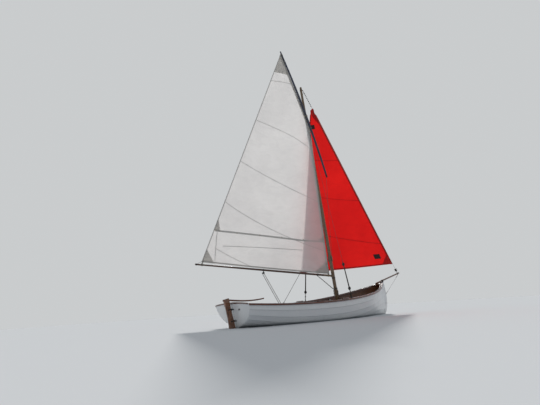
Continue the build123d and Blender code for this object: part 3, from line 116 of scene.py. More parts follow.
def interpolate(x, table):
    """Straight-line interpolation in a table of (place, value)."""
    for (x0, y0), (x1, y1) in zip(table, table[1:]):
        if x <= x1:
            return y0 + (y1 - y0) * max(x - x0, 0) / (x1 - x0)
    return table[-1][1]


def scaled(colour, factor):
    return [c * factor for c in colour]


def around(side, other, j, count):
    """The direction j / count of a turn from side towards other."""
    turn = 2 * pi * j / count
    return side * cos(turn) + other * sin(turn)


# Node materials
HULL_MIDDLE_Z = 0.55
GRAIN = {"x": (0.9, 13, 13), "y": (13, 0.9, 13), "z": (13, 13, 0.9)}
RING_NOISE = (2.6, 5, 0.62, 0.7)  # scale, detail, roughness and distortion
FIBRES_PER_RING = 9


class Nodes:
    """A material being made, with short calls for the nodes used here."""

    def __init__(self, name):
        self.material = bpy.data.materials.new(name)
        self.material.use_nodes = True
        self.tree = self.material.node_tree
        self.tree.nodes.clear()
        self.output = self.node("OutputMaterial")
        self.shader = self.node("BsdfPrincipled")
        self.link(self.shader.outputs["BSDF"], self.output.inputs["Surface"])

    def link(self, source, target):
        self.tree.links.new(source, target)

    def put(self, socket, value):
        """Links a socket to another, or sets it."""
        if isinstance(value, bpy.types.NodeSocket):
            self.link(value, socket)
        elif isinstance(value, (tuple, list)) and len(value) == 3 and socket.type == "RGBA":
            socket.default_value = (*value, 1)
        else:
            socket.default_value = value

    def set(self, **values):
        for name, value in values.items():
            self.put(self.shader.inputs[name.replace("_", " ")], value)

    def node(self, kind, **inputs):
        """A new node with some of its inputs linked or set."""
        node = self.tree.nodes.new("ShaderNode" + kind)
        for name, value in inputs.items():
            self.put(node.inputs[name], value)
        return node

    def place(self, source):
        """Where the shaded point is: Object, in the row's metres, or UV, in the piece's."""
        return self.node("TexCoord").outputs[source]

    def mapped(self, source, scale):
        return self.node("Mapping", Vector=self.place(source), Scale=scale).outputs["Vector"]

    def position(self, scale=(1, 1, 1)):
        return self.mapped("Object", scale)

    def noise(self, vector, scale, detail, roughness=0.5, distortion=0.0):
        return self.node("TexNoise", Vector=vector, Scale=scale, Detail=detail, Roughness=roughness,
                         Distortion=distortion).outputs["Fac"]

    def wave(self, vector, direction, distortion):
        """Even stripes, one for each unit of vector along direction."""
        node = self.node("TexWave", Vector=vector, Scale=1.0, Distortion=distortion, Detail=0)
        node.bands_direction = direction
        return node.outputs["Fac"]

    def ramp(self, factor, *stops):
        """Colours or greys at places from 0 to 1, given as (place, value)."""
        node = self.node("ValToRGB", Fac=factor)
        ramp = node.color_ramp
        while len(ramp.elements) < len(stops):
            ramp.elements.new(0.5)
        for element, (place, value) in zip(ramp.elements, stops):
            element.position = place
            element.color = (*value, 1) if isinstance(value, (tuple, list)) else (value, value, value, 1)
        return node.outputs["Color"]

    def tint(self, colour, mask, low, high, amount, shade):
        """Mixes shade into colour: by amount where mask is under low, and not at all over high."""
        return self.mix(self.ramp(mask, (low, amount), (high, 0.0)), colour, shade)

    def mix(self, factor, a, b, blend="MIX"):
        node = self.node("Mix")
        node.data_type = "RGBA"
        node.blend_type = blend
        for i, value in ((0, factor), (6, a), (7, b)):
            self.put(node.inputs[i], value)
        return node.outputs[2]

    def math(self, operation, a, b, kind="Math", result="Value"):
        node = self.node(kind)
        node.operation = operation
        self.put(node.inputs[0], a)
        self.put(node.inputs[1], b)
        return node.outputs[result]

    def height(self):
        """Height above the water, in metres."""
        return self.node("SeparateXYZ", Vector=self.place("Object")).outputs["Z"]

    def outside(self):
        """1 on faces of the hull that look out from its middle, and 0 on the others."""
        where = self.position((0.15, 1, 1))
        offset = self.math("SUBTRACT", where, (0, 0, HULL_MIDDLE_Z), "VectorMath", "Vector")
        normal = self.node("NewGeometry").outputs["True Normal"]
        return self.math("GREATER_THAN", self.math("DOT_PRODUCT", offset, normal, "VectorMath"), 0.0)

    def rounded(self, radius):
        """Normal with the edges softened over radius metres."""
        node = self.node("Bevel", Radius=radius)
        node.samples = 4
        return node.outputs["Normal"]

    def crevice(self, distance):
        """1 in the open and less in corners and under laps; it masks the painted shade."""
        node = self.node("AmbientOcclusion", Distance=distance)
        node.samples = 6
        return node.outputs["AO"]

    def bump(self, height, strength, distance, normal=None):
        node = self.node("Bump", Height=height, Strength=strength, Distance=distance)
        if normal is not None:
            self.link(normal, node.inputs["Normal"])
        return node.outputs["Normal"]


def varnished_wood(name, light, dark, grain, gloss, coat):
    """Varnished timber: growth rings, fibres, dark blotches and worn edges, and painted shade in its corners.
    """
    m = Nodes(name)
    rings = m.noise(m.position(GRAIN[grain]), *RING_NOISE)
    fibres = m.noise(m.position(scaled(GRAIN[grain], FIBRES_PER_RING)), 3.2, 3, 0.7)
    blotch = m.noise(m.position(), 3.1, 3)
    between = [(a + b) / 2 for a, b in zip(light, dark)]
    colour = m.ramp(rings, (0.30, dark), (0.52, between), (0.72, light))
    colour = m.tint(colour, fibres, 0.35, 0.7, 0.55, scaled(dark, 0.45))
    colour = m.tint(colour, blotch, 0.3, 0.7, 0.28, scaled(dark, 0.6))
    # Painted shade: darker in corners and under other parts
    colour = m.tint(colour, m.crevice(0.03), 0.25, 0.85, 0.65, scaled(dark, 0.3))
    rough = m.ramp(m.noise(m.position(), 17, 4), (0.3, gloss * 0.7), (0.75, gloss * 1.7))
    normal = m.bump(rings, 0.10, 0.002, m.rounded(0.0015))
    m.set(Base_Color=colour, Roughness=rough, Coat_Weight=coat, Coat_Roughness=0.12,
          Normal=m.bump(fibres, 0.12, 0.0006, normal))
    return m.material


WET_FADE = 6.5  # the stain by the water fades out over 1 / WET_FADE metres
WATER_STAIN = (0.36, 0.38, 0.33)
# Painted shade under the laps: how far it reaches in metres, and its colour
LAP_SHADE = 0.050
LAP_PAINTED_SHADE = (0.15, 0.17, 0.19)


def painted_planking(name, light, dark):
    """White paint with brush marks, painted shade under the laps and a stain by the water, and inside the
    hull varnished wood, in the colours light and dark, with painted shade in its corners."""
    m = Nodes(name)
    brush = m.noise(m.position((0.8, 26, 26)), 5, 4, 0.6)
    patch = m.noise(m.position((0.6, 1.4, 1.4)), 2.3, 4)
    scuff = m.noise(m.position((2.2, 9, 9)), 7, 6, 0.75)
    colour = m.ramp(patch, (0.3, (0.70, 0.715, 0.73)), (0.7, (0.78, 0.785, 0.785)))
    colour = m.tint(colour, brush, 0.35, 0.6, 0.22, (0.60, 0.62, 0.64))
    wet = m.math("SUBTRACT", 1.0, m.math("MULTIPLY", m.height(), WET_FADE))
    wet = m.ramp(wet, (0.25, 0.0), (1.0, 1.0))
    stain = m.math("MULTIPLY", m.ramp(scuff, (0.36, 0.0), (0.66, 0.75)), wet)
    colour = m.mix(stain, colour, WATER_STAIN)
    # Painted shade: darker under the laps outside and in the corners inside
    crevice = m.crevice(LAP_SHADE)
    colour = m.tint(colour, crevice, 0.40, 0.93, 0.85, LAP_PAINTED_SHADE)
    grain = m.noise(m.position(GRAIN["x"]), *RING_NOISE)
    inside = m.ramp(grain, (0.32, dark), (0.70, light))
    inside = m.tint(inside, crevice, 0.25, 0.85, 0.7, scaled(dark, 0.3))
    rough = m.ramp(scuff, (0.3, 0.24), (0.75, 0.46))
    m.set(Base_Color=m.mix(m.outside(), inside, colour), Roughness=rough,
          Coat_Weight=0.25, Coat_Roughness=0.2, Normal=m.bump(brush, 0.10, 0.0012, m.rounded(0.0012)))
    return m.material


def dark_paint(name, colour, gloss):
    """Dark paint with scuffs that show a paler undercoat."""
    m = Nodes(name)
    wear = m.noise(m.position((9, 9, 4)), 9, 6, 0.7)
    patch = m.noise(m.position(), 6, 3)
    shade = m.ramp(patch, (0.3, scaled(colour, 0.75)), (0.7, scaled(colour, 1.35)))
    undercoat = [c * 3 + 0.05 for c in colour]
    shade = m.mix(m.ramp(wear, (0.60, 0.0), (0.72, 0.55)), shade, undercoat)
    m.set(Base_Color=shade, Roughness=m.ramp(wear, (0.3, gloss * 0.8), (0.8, gloss * 1.5)),
          Normal=m.bump(wear, 0.15, 0.0008, m.rounded(0.0012)))
    return m.material


def dull_metal(name, colour, gloss=0.38):
    """Cloudy, pitted metal, with painted shade in the corners."""
    m = Nodes(name)
    cloud = m.noise(m.position(), 60, 5, 0.65)
    pits = m.noise(m.position(), 420, 2)
    shade = m.ramp(cloud, (0.3, scaled(colour, 0.62)), (0.72, colour))
    # Painted shade in the corners
    shade = m.tint(shade, m.crevice(0.01), 0.3, 0.85, 0.6, scaled(colour, 0.25))
    rough = m.ramp(cloud, (0.3, gloss * 0.8), (0.75, gloss * 1.5))
    m.set(Base_Color=shade, Metallic=0.9, Roughness=rough,
          Normal=m.bump(pits, 0.2, 0.0003, m.rounded(0.0008)))
    return m.material


def laid_rope(name, colour, strands, pitch):
    """Laid rope or wire, its strands winding round the map with pitch in metres."""
    m = Nodes(name)
    twist = m.wave(m.mapped("UV", (strands, 1 / pitch, 1)), "DIAGONAL", 0.0)
    fluff = m.noise(m.position(), 900, 2)
    # Painted shade in the grooves between the strands
    shade = m.ramp(twist, (0.1, scaled(colour, 0.45)), (0.6, colour))
    shade = m.tint(shade, fluff, 0.4, 0.7, 0.3, scaled(colour, 0.6))
    m.set(Base_Color=shade, Roughness=0.75, Normal=m.bump(twist, 0.7, 0.0012))
    return m.material


THREADS_PER_METRE = 620


def sailcloth(name, colour, shaded, through, seam=1.0):
    """Thin woven cloth. shaded is the colour of its soiled parts, and darkened it gives the painted shade
    along the creases; through is the share of light that goes through it. seam darkens doubled cloth."""
    m = Nodes(name)
    threads = m.mapped("UV", (THREADS_PER_METRE, THREADS_PER_METRE, 1))
    weave = m.math("MULTIPLY", m.wave(threads, "X", 0.2), m.wave(threads, "Y", 0.2))
    crease = m.noise(m.position((1.1, 1.1, 2.2)), 3.4, 6, 0.62, 0.6)
    soil = m.noise(m.position((0.7, 0.7, 0.5)), 1.6, 5, 0.6)
    shade = m.ramp(soil, (0.3, shaded), (0.66, colour))
    # Painted shade along the creases
    shade = m.tint(shade, crease, 0.40, 0.56, 0.16, scaled(shaded, 0.80))
    shade = m.mix(1.0, shade, (seam, seam, seam), "MULTIPLY")
    normal = m.bump(weave, 0.12, 0.0004, m.bump(crease, 0.22, 0.010))
    m.set(Base_Color=shade, Roughness=0.62, Specular_IOR_Level=0.28, Sheen_Weight=0.12, Normal=normal)
    glow = m.node("BsdfTranslucent", Color=shade, Normal=normal)
    both = m.node("MixShader", Fac=through)
    m.link(m.shader.outputs["BSDF"], both.inputs[1])
    m.link(glow.outputs["BSDF"], both.inputs[2])
    m.link(both.outputs["Shader"], m.output.inputs["Surface"])
    return m.material


PAINT = painted_planking("white_planking", (0.22, 0.095, 0.042), (0.085, 0.034, 0.017))
RAIL = varnished_wood("rail_varnish", (0.235, 0.072, 0.036), (0.085, 0.024, 0.014), "x", 0.20, 0.8)
INTERIOR = varnished_wood("interior_varnish", (0.32, 0.145, 0.060), (0.13, 0.052, 0.022), "x", 0.52, 0.0)
SEAT = varnished_wood("seat_varnish", (0.34, 0.145, 0.058), (0.13, 0.048, 0.020), "y", 0.52, 0.0)
MAST = varnished_wood("mast_varnish", (0.28, 0.175, 0.080), (0.135, 0.078, 0.034), "z", 0.24, 0.6)
BOOM = varnished_wood("boom_varnish", (0.165, 0.075, 0.040), (0.060, 0.026, 0.016), "x", 0.26, 0.6)
RUDDER = varnished_wood("rudder_varnish", (0.33, 0.135, 0.055), (0.13, 0.045, 0.020), "z", 0.22, 0.7)
TILLER = varnished_wood("tiller_varnish", (0.33, 0.120, 0.050), (0.13, 0.040, 0.020), "x", 0.20, 0.8)
SPRIT = varnished_wood("bowsprit_varnish", (0.30, 0.13, 0.060), (0.10, 0.040, 0.020), "x", 0.16, 0.9)
YARD = dark_paint("yard_paint", (0.030, 0.036, 0.060), 0.34)
BLOCK = dark_paint("block_shell", (0.022, 0.022, 0.024), 0.62)
STEEL = dull_metal("galvanised_metal", (0.46, 0.46, 0.45))
BLACK_IRON = dull_metal("dark_iron", (0.060, 0.058, 0.056), 0.62)
BRONZE = dull_metal("bronze", (0.52, 0.36, 0.17), 0.34)
COPPER = dull_metal("copper", (0.50, 0.22, 0.12), 0.42)
WIRE = laid_rope("stay_wire", (0.17, 0.17, 0.17), 6, 0.012)
ROPE = laid_rope("laid_rope", (0.30, 0.275, 0.225), 3, 0.022)
LINE = laid_rope("dark_line", (0.13, 0.12, 0.105), 3, 0.014)
DARK_ROPE = laid_rope("dark_lashing", (0.10, 0.085, 0.07), 3, 0.012)
CREAM = sailcloth("cream_sailcloth", (0.82, 0.80, 0.785), (0.74, 0.72, 0.71), 0.50)
CREAM_DOUBLED = sailcloth("cream_doubled", (0.78, 0.765, 0.735), (0.70, 0.685, 0.66), 0.34, 0.90)
CREAM_PATCH = sailcloth("cream_patch", (0.78, 0.765, 0.735), (0.72, 0.705, 0.68), 0.60, 1.0)
RED = sailcloth("red_sailcloth", (0.80, 0.010, 0.008), (0.66, 0.006, 0.006), 0.52)
RED_DOUBLED = sailcloth("red_doubled", (0.78, 0.010, 0.008), (0.62, 0.006, 0.006), 0.32, 0.82)
DARK_PATCH = sailcloth("dark_patch", (0.035, 0.010, 0.010), (0.025, 0.008, 0.008), 0.04)

FINISHES = {
    PAINT: ["keel", "skeg", "transom", "stem"] + [f"strake_{k}" for k in range(1, STRAKES + 1)],
    RAIL: ["outwales", "inwales", "breasthook", "quarter_knees", "thwart_knees", "rowlock_pads"],
    INTERIOR: ["ribs", "floor_timbers", "risers", "mast_step", "bowsprit_chock", "centreboard_case",
               "floorboards"],
    SEAT: ["aft_thwart", "centre_thwart", "mast_thwart", "stern_seat"],
    MAST: ["mast", "mast_cleats", "jaws"],
    BOOM: ["boom"],
    RUDDER: ["rudder", "centreboard"],
    TILLER: ["tiller"],
    SPRIT: ["bowsprit"],
    YARD: ["yard"],
    BLOCK: ["shroud_blocks", "boom_block", "thwart_block", "furling_drum"],
    BLACK_IRON: ["cranse_iron", "gudgeons", "pintles", "gammon_iron", "mast_bands", "chainplates"],
    STEEL: ["stem_eyes", "centreboard_pin", "jib_fairleads"],
    WIRE: ["jib_stay", "bobstay", "shrouds"],
    ROPE: ["shroud_lanyards"],
    CREAM: ["mainsail"],
    RED: ["jib"],
}
for material, names in FINISHES.items():
    for name in names:
        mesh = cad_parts[name].data
        mesh.materials.clear()
        mesh.materials.append(material)


# Mesh helpers
def new_object(name, points, faces, material):
    mesh = bpy.data.meshes.new(name)
    mesh.from_pydata([tuple(p) for p in points], [], faces)
    mesh.polygons.foreach_set("use_smooth", [True] * len(mesh.polygons))
    mesh.materials.append(material)
    mesh.update()
    obj = bpy.data.objects.new(name, mesh)
    bpy.context.scene.collection.objects.link(obj)
    return obj


def add_mesh(name, points, faces, uvs, material, body, slot):
    """A piece that rides on body, if one is named. uvs has a pair for each point."""
    obj = new_object(name, points, faces, material)
    layer = obj.data.uv_layers.new(name="map")
    for loop in obj.data.loops:
        layer.data[loop.index].uv = uvs[loop.vertex_index]
    if body:
        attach(obj, body)
    return obj


class Builder:
    """Collects points and faces for one piece."""

    def __init__(self):
        self.points, self.faces, self.uvs = [], [], []

    def rings(self, rings, closed=False, caps=True):
        """Joins rings into a skin. Each is a list of (point, map place around, map place along)."""
        base = len(self.points)
        count = len(rings[0])
        for ring in rings:
            for point, *place in ring:
                self.points.append(point)
                self.uvs.append(tuple(place))
        last = len(rings) if closed else len(rings) - 1
        for i in range(last):
            for j in range(count):
                a = base + i * count + j
                b = base + i * count + (j + 1) % count
                c = base + ((i + 1) % len(rings)) * count + (j + 1) % count
                d = base + ((i + 1) % len(rings)) * count + j
                self.faces.append((a, b, c, d))
        if caps and not closed:
            self.faces.append(tuple(reversed(range(base, base + count))))
            top = base + (len(rings) - 1) * count
            self.faces.append(tuple(range(top, top + count)))

    def tube(self, path, radius, sides=8, closed=False):
        """A round tube along path."""
        count = len(path)
        length, side, rings = 0.0, None, []
        for i, point in enumerate(path):
            before = path[i - 1] if i or closed else point
            after = path[(i + 1) % count] if i < count - 1 or closed else point
            direction = (after - before).normalized()
            if side is None:
                side = direction.orthogonal().normalized()
            side = (side - direction * side.dot(direction)).normalized()
            other = direction.cross(side)
            if i:
                length += (point - path[i - 1]).length
            rings.append([(point + around(side, other, j, sides) * radius, j / sides, length)
                          for j in range(sides)])
        self.rings(rings, closed)

    def turned(self, start, direction, profile, sides=16):
        """A form turned about direction: profile gives (distance along, radius)."""
        direction = direction.normalized()
        side = direction.orthogonal().normalized()
        other = direction.cross(side)
        self.rings([
            [(start + direction * s + around(side, other, j, sides) * r, j / sides, s) for j in range(sides)]
            for s, r in profile
        ])

    def loop(self, centre, normal, radius, cord, sides, turns=1, rise=0.0):
        """A ring of cord about normal, or several turns with rise metres from one to the next.
        cord is the cord's own radius."""
        normal = normal.normalized()
        side = normal.orthogonal().normalized()
        other = normal.cross(side)
        path = [
            centre + around(side, other, i, sides) * radius + normal * (rise * (i / sides - turns / 2))
            for i in range(sides * turns + (1 if rise else 0))
        ]
        self.tube(path, cord, 6, closed=not rise)

    def make(self, name, material, body, slot):
        return add_mesh(name, self.points, self.faces, self.uvs, material, body, slot)


# Sail surfaces
BELLY_CURVE = (2.12, 1.24, 0.88)  # fullest a little aft of the middle
BELLY_SCALE = 1.62  # brings the curve's greatest height to about 1
HEAD_BLEND_START = 0.80
FOOT_ROUND_REACH = 0.12
CREASE_U, CREASE_V = 2.6, 4.4
CREASE_START = 0.25
PATCH_MAP = (2.8, 3.3)
SEAM_LIFT = 0.0012
BAND_LIFT = 0.0016
PATCH_LIFT = 0.0024
MARK_LIFT = 0.0030


class Sail:
    """A sail between its luff and leech lines, with belly, creases and a map in metres.
    A place on it is (u, v): u from luff to leech and v from foot to head, each from 0 to 1."""

    # Creases that fan out of a corner: its u and v, their reach, how many, and their height in metres
    creases = (
        (0, 0, 1.7, 11, 0.0045),
        (1, 0, 2.2, 13, 0.0050),
        (0, 1, 1.5, 12, 0.0040),
        (1, 1, 1.8, 12, 0.0035),
    )

    def __init__(self, tack, clew, throat, peak, outward, belly, head_line=None, foot_round=0.0,
                 leech_hollow=0.0):
        self.tack, self.clew, self.throat, self.peak = tack, clew, throat, peak
        self.outward, self.belly = outward, belly
        self.head_line, self.foot_round, self.leech_hollow = head_line, foot_round, leech_hollow

    def point(self, u, v):
        luff = self.tack.lerp(self.throat, v)
        leech = self.clew.lerp(self.peak, v)
        chord = leech - luff
        x = chord.normalized()
        out = (self.outward - x * self.outward.dot(x)).normalized()
        depth = interpolate(v, self.belly) * chord.length
        a, b, c = BELLY_CURVE
        bow = u * (a - b * u - c * u ** 2)
        p = luff + chord * u + out * (depth * bow * BELLY_SCALE)
        if self.head_line:
            near = max(v - HEAD_BLEND_START, 0) / (1 - HEAD_BLEND_START)
            bend = self.head_line(u) - (self.throat + (self.peak - self.throat) * u)
            p += bend * near ** 2 * (3 - 2 * near)
        p.z -= self.foot_round * 4 * u * (1 - u) * max(1 - v / FOOT_ROUND_REACH, 0) ** 2
        p -= x * (self.leech_hollow * sin(pi * v) * u ** 6)
        return p + out * self.wrinkle(u, v)

    def wrinkle(self, u, v):
        """Height of the creases that fan out of the corners."""
        total = 0.0
        for u0, v0, reach, count, height in self.creases:
            du, dv = (u - u0) * CREASE_U, (v - v0) * CREASE_V
            away = hypot(du, dv)
            if away < 1e-6:
                continue
            turn = dv / away if abs(du) < 1e-6 else atan(dv / du)
            near = min(away / CREASE_START, 1)
            total += height * sin(turn * count) * near * max(1 - away / reach, 0) ** 1.5
        return total

    def grid(self, across, up):
        """Rows of points from foot to head, with the map in metres."""
        points, uvs, faces = [], [], []
        foot = (self.clew - self.tack).length
        height = (self.throat - self.tack).length
        for i in range(up + 1):
            for j in range(across + 1):
                u, v = j / across, i / up
                points.append(self.point(u, v))
                uvs.append((u * foot, v * height))
        for i in range(up):
            for j in range(across):
                a = i * (across + 1) + j
                faces.append((a, a + 1, a + across + 2, a + across + 1))
        return points, faces, uvs

    def normal(self, u, v):
        e = 0.004
        along = self.point(min(u + e, 1), v) - self.point(max(u - e, 0), v)
        up = self.point(u, min(v + e, 1)) - self.point(u, max(v - e, 0))
        return along.cross(up).normalized()

    def area(self):
        points, faces, _ = self.grid(40, 60)
        return sum(((points[c] - points[a]).cross(points[d] - points[b])).length / 2 for a, b, c, d in faces)

    def band(self, builder, line, width, steps=48, lift=BAND_LIFT):
        """A strip of doubled cloth along a line of (u, v) places, on both faces of the sail."""
        path = []
        for (ua, va), (ub, vb) in zip(line, line[1:]):
            path += [(ua + (ub - ua) * i / steps, va + (vb - va) * i / steps) for i in range(steps)]
        path.append(line[-1])
        for face in (1, -1):
            base = len(builder.points)
            for i, (u, v) in enumerate(path):
                a = self.point(*path[max(i - 1, 0)])
                b = self.point(*path[min(i + 1, len(path) - 1)])
                out = self.normal(u, v) * face
                side = (b - a).normalized().cross(out)
                middle = self.point(u, v) + out * lift
                for k, s in enumerate((-width / 2, width / 2)):
                    builder.points.append(middle + side * s)
                    builder.uvs.append((k * width, i * 0.02))
            for i in range(len(path) - 1):
                a = base + 2 * i
                builder.faces.append((a, a + 1, a + 3, a + 2))

    def patch(self, builder, corner, edge_a, edge_b, steps=10, lift=PATCH_LIFT):
        """A three-cornered patch: a corner, and how far it runs along two edges, as (du, dv)."""
        for face in (1, -1):
            base = len(builder.points)
            for i in range(steps + 1):
                for j in range(steps + 1):
                    r, s = i / steps, j / steps
                    u = corner[0] + r * (edge_a[0] * (1 - s) + edge_b[0] * s)
                    v = corner[1] + r * (edge_a[1] * (1 - s) + edge_b[1] * s)
                    builder.points.append(self.point(u, v) + self.normal(u, v) * face * lift)
                    builder.uvs.append((u * PATCH_MAP[0], v * PATCH_MAP[1]))
            for i in range(steps):
                for j in range(steps):
                    a = base + i * (steps + 1) + j
                    builder.faces.append((a, a + 1, a + steps + 2, a + steps + 1))


def head_on_yard(u):
    """The mainsail's head follows the yard's aft side from throat to peak."""
    t = HEAD_START + (HEAD_END - HEAD_START) * u
    inboard = 0.0151 * (1 - u)
    return yard_point(t, yard_radius(t) + 0.006) - across_boom * inboard


main = Sail(
    tack=rig_point(0.092, 0.990, 0.010),
    clew=rig_point(2.905, 1.378, 0.0),
    throat=head_on_yard(0),
    peak=head_on_yard(1),
    outward=-across_boom,
    belly=((0, 0.012), (0.3, 0.066), (0.65, 0.066), (1, 0.006)),
    head_line=head_on_yard,
    foot_round=0.012,
)
LUFF_GAP = 0.0031
jib = Sail(
    tack=stay_point(JIB_TACK_Z) + stay_aft * LUFF_GAP,
    clew=JIB_CLEW,
    throat=stay_point(JIB_STAY_HEAD.z) + stay_aft * LUFF_GAP,
    peak=stay_point(JIB_STAY_HEAD.z) + stay_aft * LUFF_GAP + Vector((-0.040, 0.014, -0.050)),
    outward=PORT,
    belly=((0, 0.045), (0.35, 0.080), (0.7, 0.075), (1, 0.02)),
    foot_round=0.012,
    leech_hollow=0.03,
)


def seams_of(sail, lines):
    builder = Builder()
    for line in lines:
        sail.band(builder, line, SEAM_WIDTH, lift=SEAM_LIFT)
    return builder


def bands_of(sail, table):
    """Strips given as (line, width in metres, steps)."""
    builder = Builder()
    for strip in table:
        sail.band(builder, *strip)
    return builder


def patches_of(sail, table, *how):
    """Patches given as (corner, edge, edge). how gives their steps and lift."""
    builder = Builder()
    for patch in table:
        sail.patch(builder, *patch, *how)
    return builder


# Mainsail with its seams, bands and patches
SEAM_WIDTH = 0.011
MAIN_SEAMS = (
    ((1.0, 0.86), (0.60, 1.0)),
    ((1.0, 0.66), (0.0, 0.8475)),
    ((1.0, 0.46), (0.0, 0.4835)),
    ((1.0, 0.27), (0.0, 0.149)),
    ((0.93, 0.065), (0.60, 0.0)),
)
MAIN_BANDS = (
    (((0.985, 0.14), (0.21, 0.190), (0.01, 0.213)), 0.038),
    (((0.88, 0.081), (0.21, 0.130)), 0.012),
    (((0.965, 0.135), (0.905, 0.012)), 0.014),
    (((0.008, 0.0), (0.008, 1.0)), 0.044, 90),
    (((0.9955, 0.0), (0.9955, 1.0)), 0.020, 90),
    (((0.0, 0.0045), (1.0, 0.0045)), 0.030, 60),
    (((0.0, 0.994), (1.0, 0.994)), 0.040, 60),
)
MAIN_PATCHES = (
    ((0, 0), (0.12, 0), (0, 0.09)),
    ((1, 0), (-0.10, 0), (0, 0.06)),
    ((0, 1), (0.20, 0), (0, -0.10)),
    ((1, 1), (-0.28, 0), (0, -0.095)),
    ((1, 0.14), (-0.06, 0.0), (0, 0.055)),
    ((0, 0.213), (0.07, 0.0), (0, 0.035)),
)
main_cloth = add_mesh("mainsail_cloth", *main.grid(90, 150), CREAM, "rig", "cream_sailcloth")
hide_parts("mainsail")
main_seams = seams_of(main, MAIN_SEAMS).make("mainsail_seams", CREAM_DOUBLED, "rig", "cream_sailcloth")
main_bands = bands_of(main, MAIN_BANDS).make("mainsail_bands", CREAM_DOUBLED, "rig", "cream_sailcloth")
main_patches = patches_of(main, MAIN_PATCHES).make("mainsail_patches", CREAM_PATCH, "rig", "cream_sailcloth")

# Jib with its seams, tapes, patches and two dark marks, each made of two triangles
JIB_SEAMS = (
    ((1.0, 0.69), (0.0, 0.68)),
    ((1.0, 0.475), (0.0, 0.42)),
    ((1.0, 0.26), (0.0, 0.135)),
)
JIB_BANDS = (
    (((0.009, 0.0), (0.009, 1.0)), 0.045, 90),
    (((0.993, 0.0), (0.993, 1.0)), 0.030, 90),
    (((0.0, 0.005), (1.0, 0.005)), 0.030, 60),
)
JIB_PATCHES = (
    ((0, 0), (0.11, 0), (0, 0.075)),
    ((1, 0), (-0.12, 0), (0, 0.085)),
    ((0, 1), (1.0, 0), (0, -0.10)),
)
JIB_MARKS = (
    ((0.088, 0.043), (0.068, 0), (0, 0.030)),
    ((0.156, 0.073), (-0.068, 0), (0, -0.030)),
    ((0.55, 0.880), (0.38, 0), (0, 0.026)),
    ((0.93, 0.906), (-0.38, 0), (0, -0.026)),
)
jib_cloth = add_mesh("jib_cloth", *jib.grid(80, 130), RED, "hull", "red_sailcloth")
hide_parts("jib")
jib_seams = seams_of(jib, JIB_SEAMS).make("jib_seams", RED_DOUBLED, "hull", "red_sailcloth")
jib_bands = bands_of(jib, JIB_BANDS).make("jib_bands", RED_DOUBLED, "hull", "red_sailcloth")
jib_patches = patches_of(jib, JIB_PATCHES).make("jib_patches", RED_DOUBLED, "hull", "red_sailcloth")
jib_dark = patches_of(jib, JIB_MARKS, 4, MARK_LIFT).make("jib_dark_patches", DARK_PATCH, "hull",
                                                         "red_sailcloth")

# Ropes sewn to the sails' edges, and rings in their corners
EDGE_ROPE = 0.0045
LUFF_STEPS, HEAD_STEPS = 70, 60
ropes = Builder()
ropes.tube([main.point(0, i / LUFF_STEPS) for i in range(LUFF_STEPS + 1)], EDGE_ROPE)
ropes.tube([main.point(i / HEAD_STEPS, 1) for i in range(HEAD_STEPS + 1)], EDGE_ROPE)
main_rope = ropes.make("mainsail_edge_rope", ROPE, "rig", "rope")
ropes = Builder()
ropes.tube([jib.point(0, i / LUFF_STEPS) for i in range(LUFF_STEPS + 1)], EDGE_ROPE)
jib_rope = ropes.make("jib_edge_rope", ROPE, "hull", "rope")


def eyelet(builder, sail, u, v, radius):
    builder.loop(sail.point(u, v), sail.normal(u, v), radius, 0.0030, 18)


HEAD_LACES = 9
REEF_EYES = 4
main_eyes = Builder()
for u, v in ((0.010, 0.006), (0.988, 0.008), (0.020, 0.988), (0.975, 0.985), (0.985, 0.141),
             (0.012, 0.213)):
    eyelet(main_eyes, main, u, v, 0.013)
for i in range(1, HEAD_LACES):
    eyelet(main_eyes, main, i / HEAD_LACES, 0.989, 0.008)
for i in range(1, REEF_EYES + 1):
    eyelet(main_eyes, main, 0.2 * i, 0.213 - 0.078 * 0.2 * i, 0.008)
main_rings = main_eyes.make("mainsail_rings", BRONZE, "rig", "galvanised_steel")
jib_eyes = Builder()
for u, v in ((0.012, 0.008), (0.985, 0.010), (0.45, 0.975)):
    eyelet(jib_eyes, jib, u, v, 0.012)
jib_rings = jib_eyes.make("jib_rings", BRONZE, "hull", "galvanised_steel")

main.area()
jib.area()

# Lacing between the sail's head and the yard, and the lashings at its corners
HEAD_LACE = 0.0028
LASHING = 0.0030
LASHING_TURN = 0.0032
laces = Builder()
for i in range(HEAD_LACES + 1):
    u = min(max(i / HEAD_LACES, 0.015), 0.985)
    t = HEAD_START + (HEAD_END - HEAD_START) * u
    axis = (yard_point(t + 0.01) - yard_point(t - 0.01)).normalized()
    centre = yard_point(t, 0.004)
    count = 3 if i in (0, HEAD_LACES) else 1
    for k in range(count):
        shift = 0.007 * (k - (count - 1) / 2)
        laces.loop(centre + axis * shift, axis, yard_radius(t) + 0.0075, HEAD_LACE, 22)
    laces.tube([main.point(u, 0.99), yard_point(t, yard_radius(t) + 0.002)], HEAD_LACE)
laces.make("head_lacing", ROPE, "rig", "rope")

CLEW_LASHING_AT = 2.885
CLEW_EYE = main.point(0.988, 0.008)
boom_axis = (boom_point(2.9) - boom_point(2.5)).normalized()
clew_lash = Builder()
for k in range(5):
    clew_lash.loop(boom_point(CLEW_LASHING_AT + 0.008 * k), boom_axis, BOOM_RADIUS + 0.0015, LASHING_TURN, 22)
for k in range(4):
    clew_lash.tube([CLEW_EYE, boom_point(CLEW_LASHING_AT + 0.010 * k, -0.019)], LASHING)
clew_lash.tube([CLEW_EYE, boom_point(2.99, -0.019)], LASHING)
clew_lash.make("clew_lashing", ROPE, "rig", "rope")

TACK_LASHING_AT = 0.088
tack_lash = Builder()
for k in range(4):
    tack_lash.tube([main.point(0.010, 0.006), boom_point(TACK_LASHING_AT + 0.010 * k, -0.020)], LASHING)
for k in range(4):
    tack_lash.loop(boom_point(TACK_LASHING_AT + 0.010 * k), boom_axis, BOOM_RADIUS + 0.0016, LASHING_TURN, 22)
tack_lash.make("tack_lashing", ROPE, "rig", "rope")

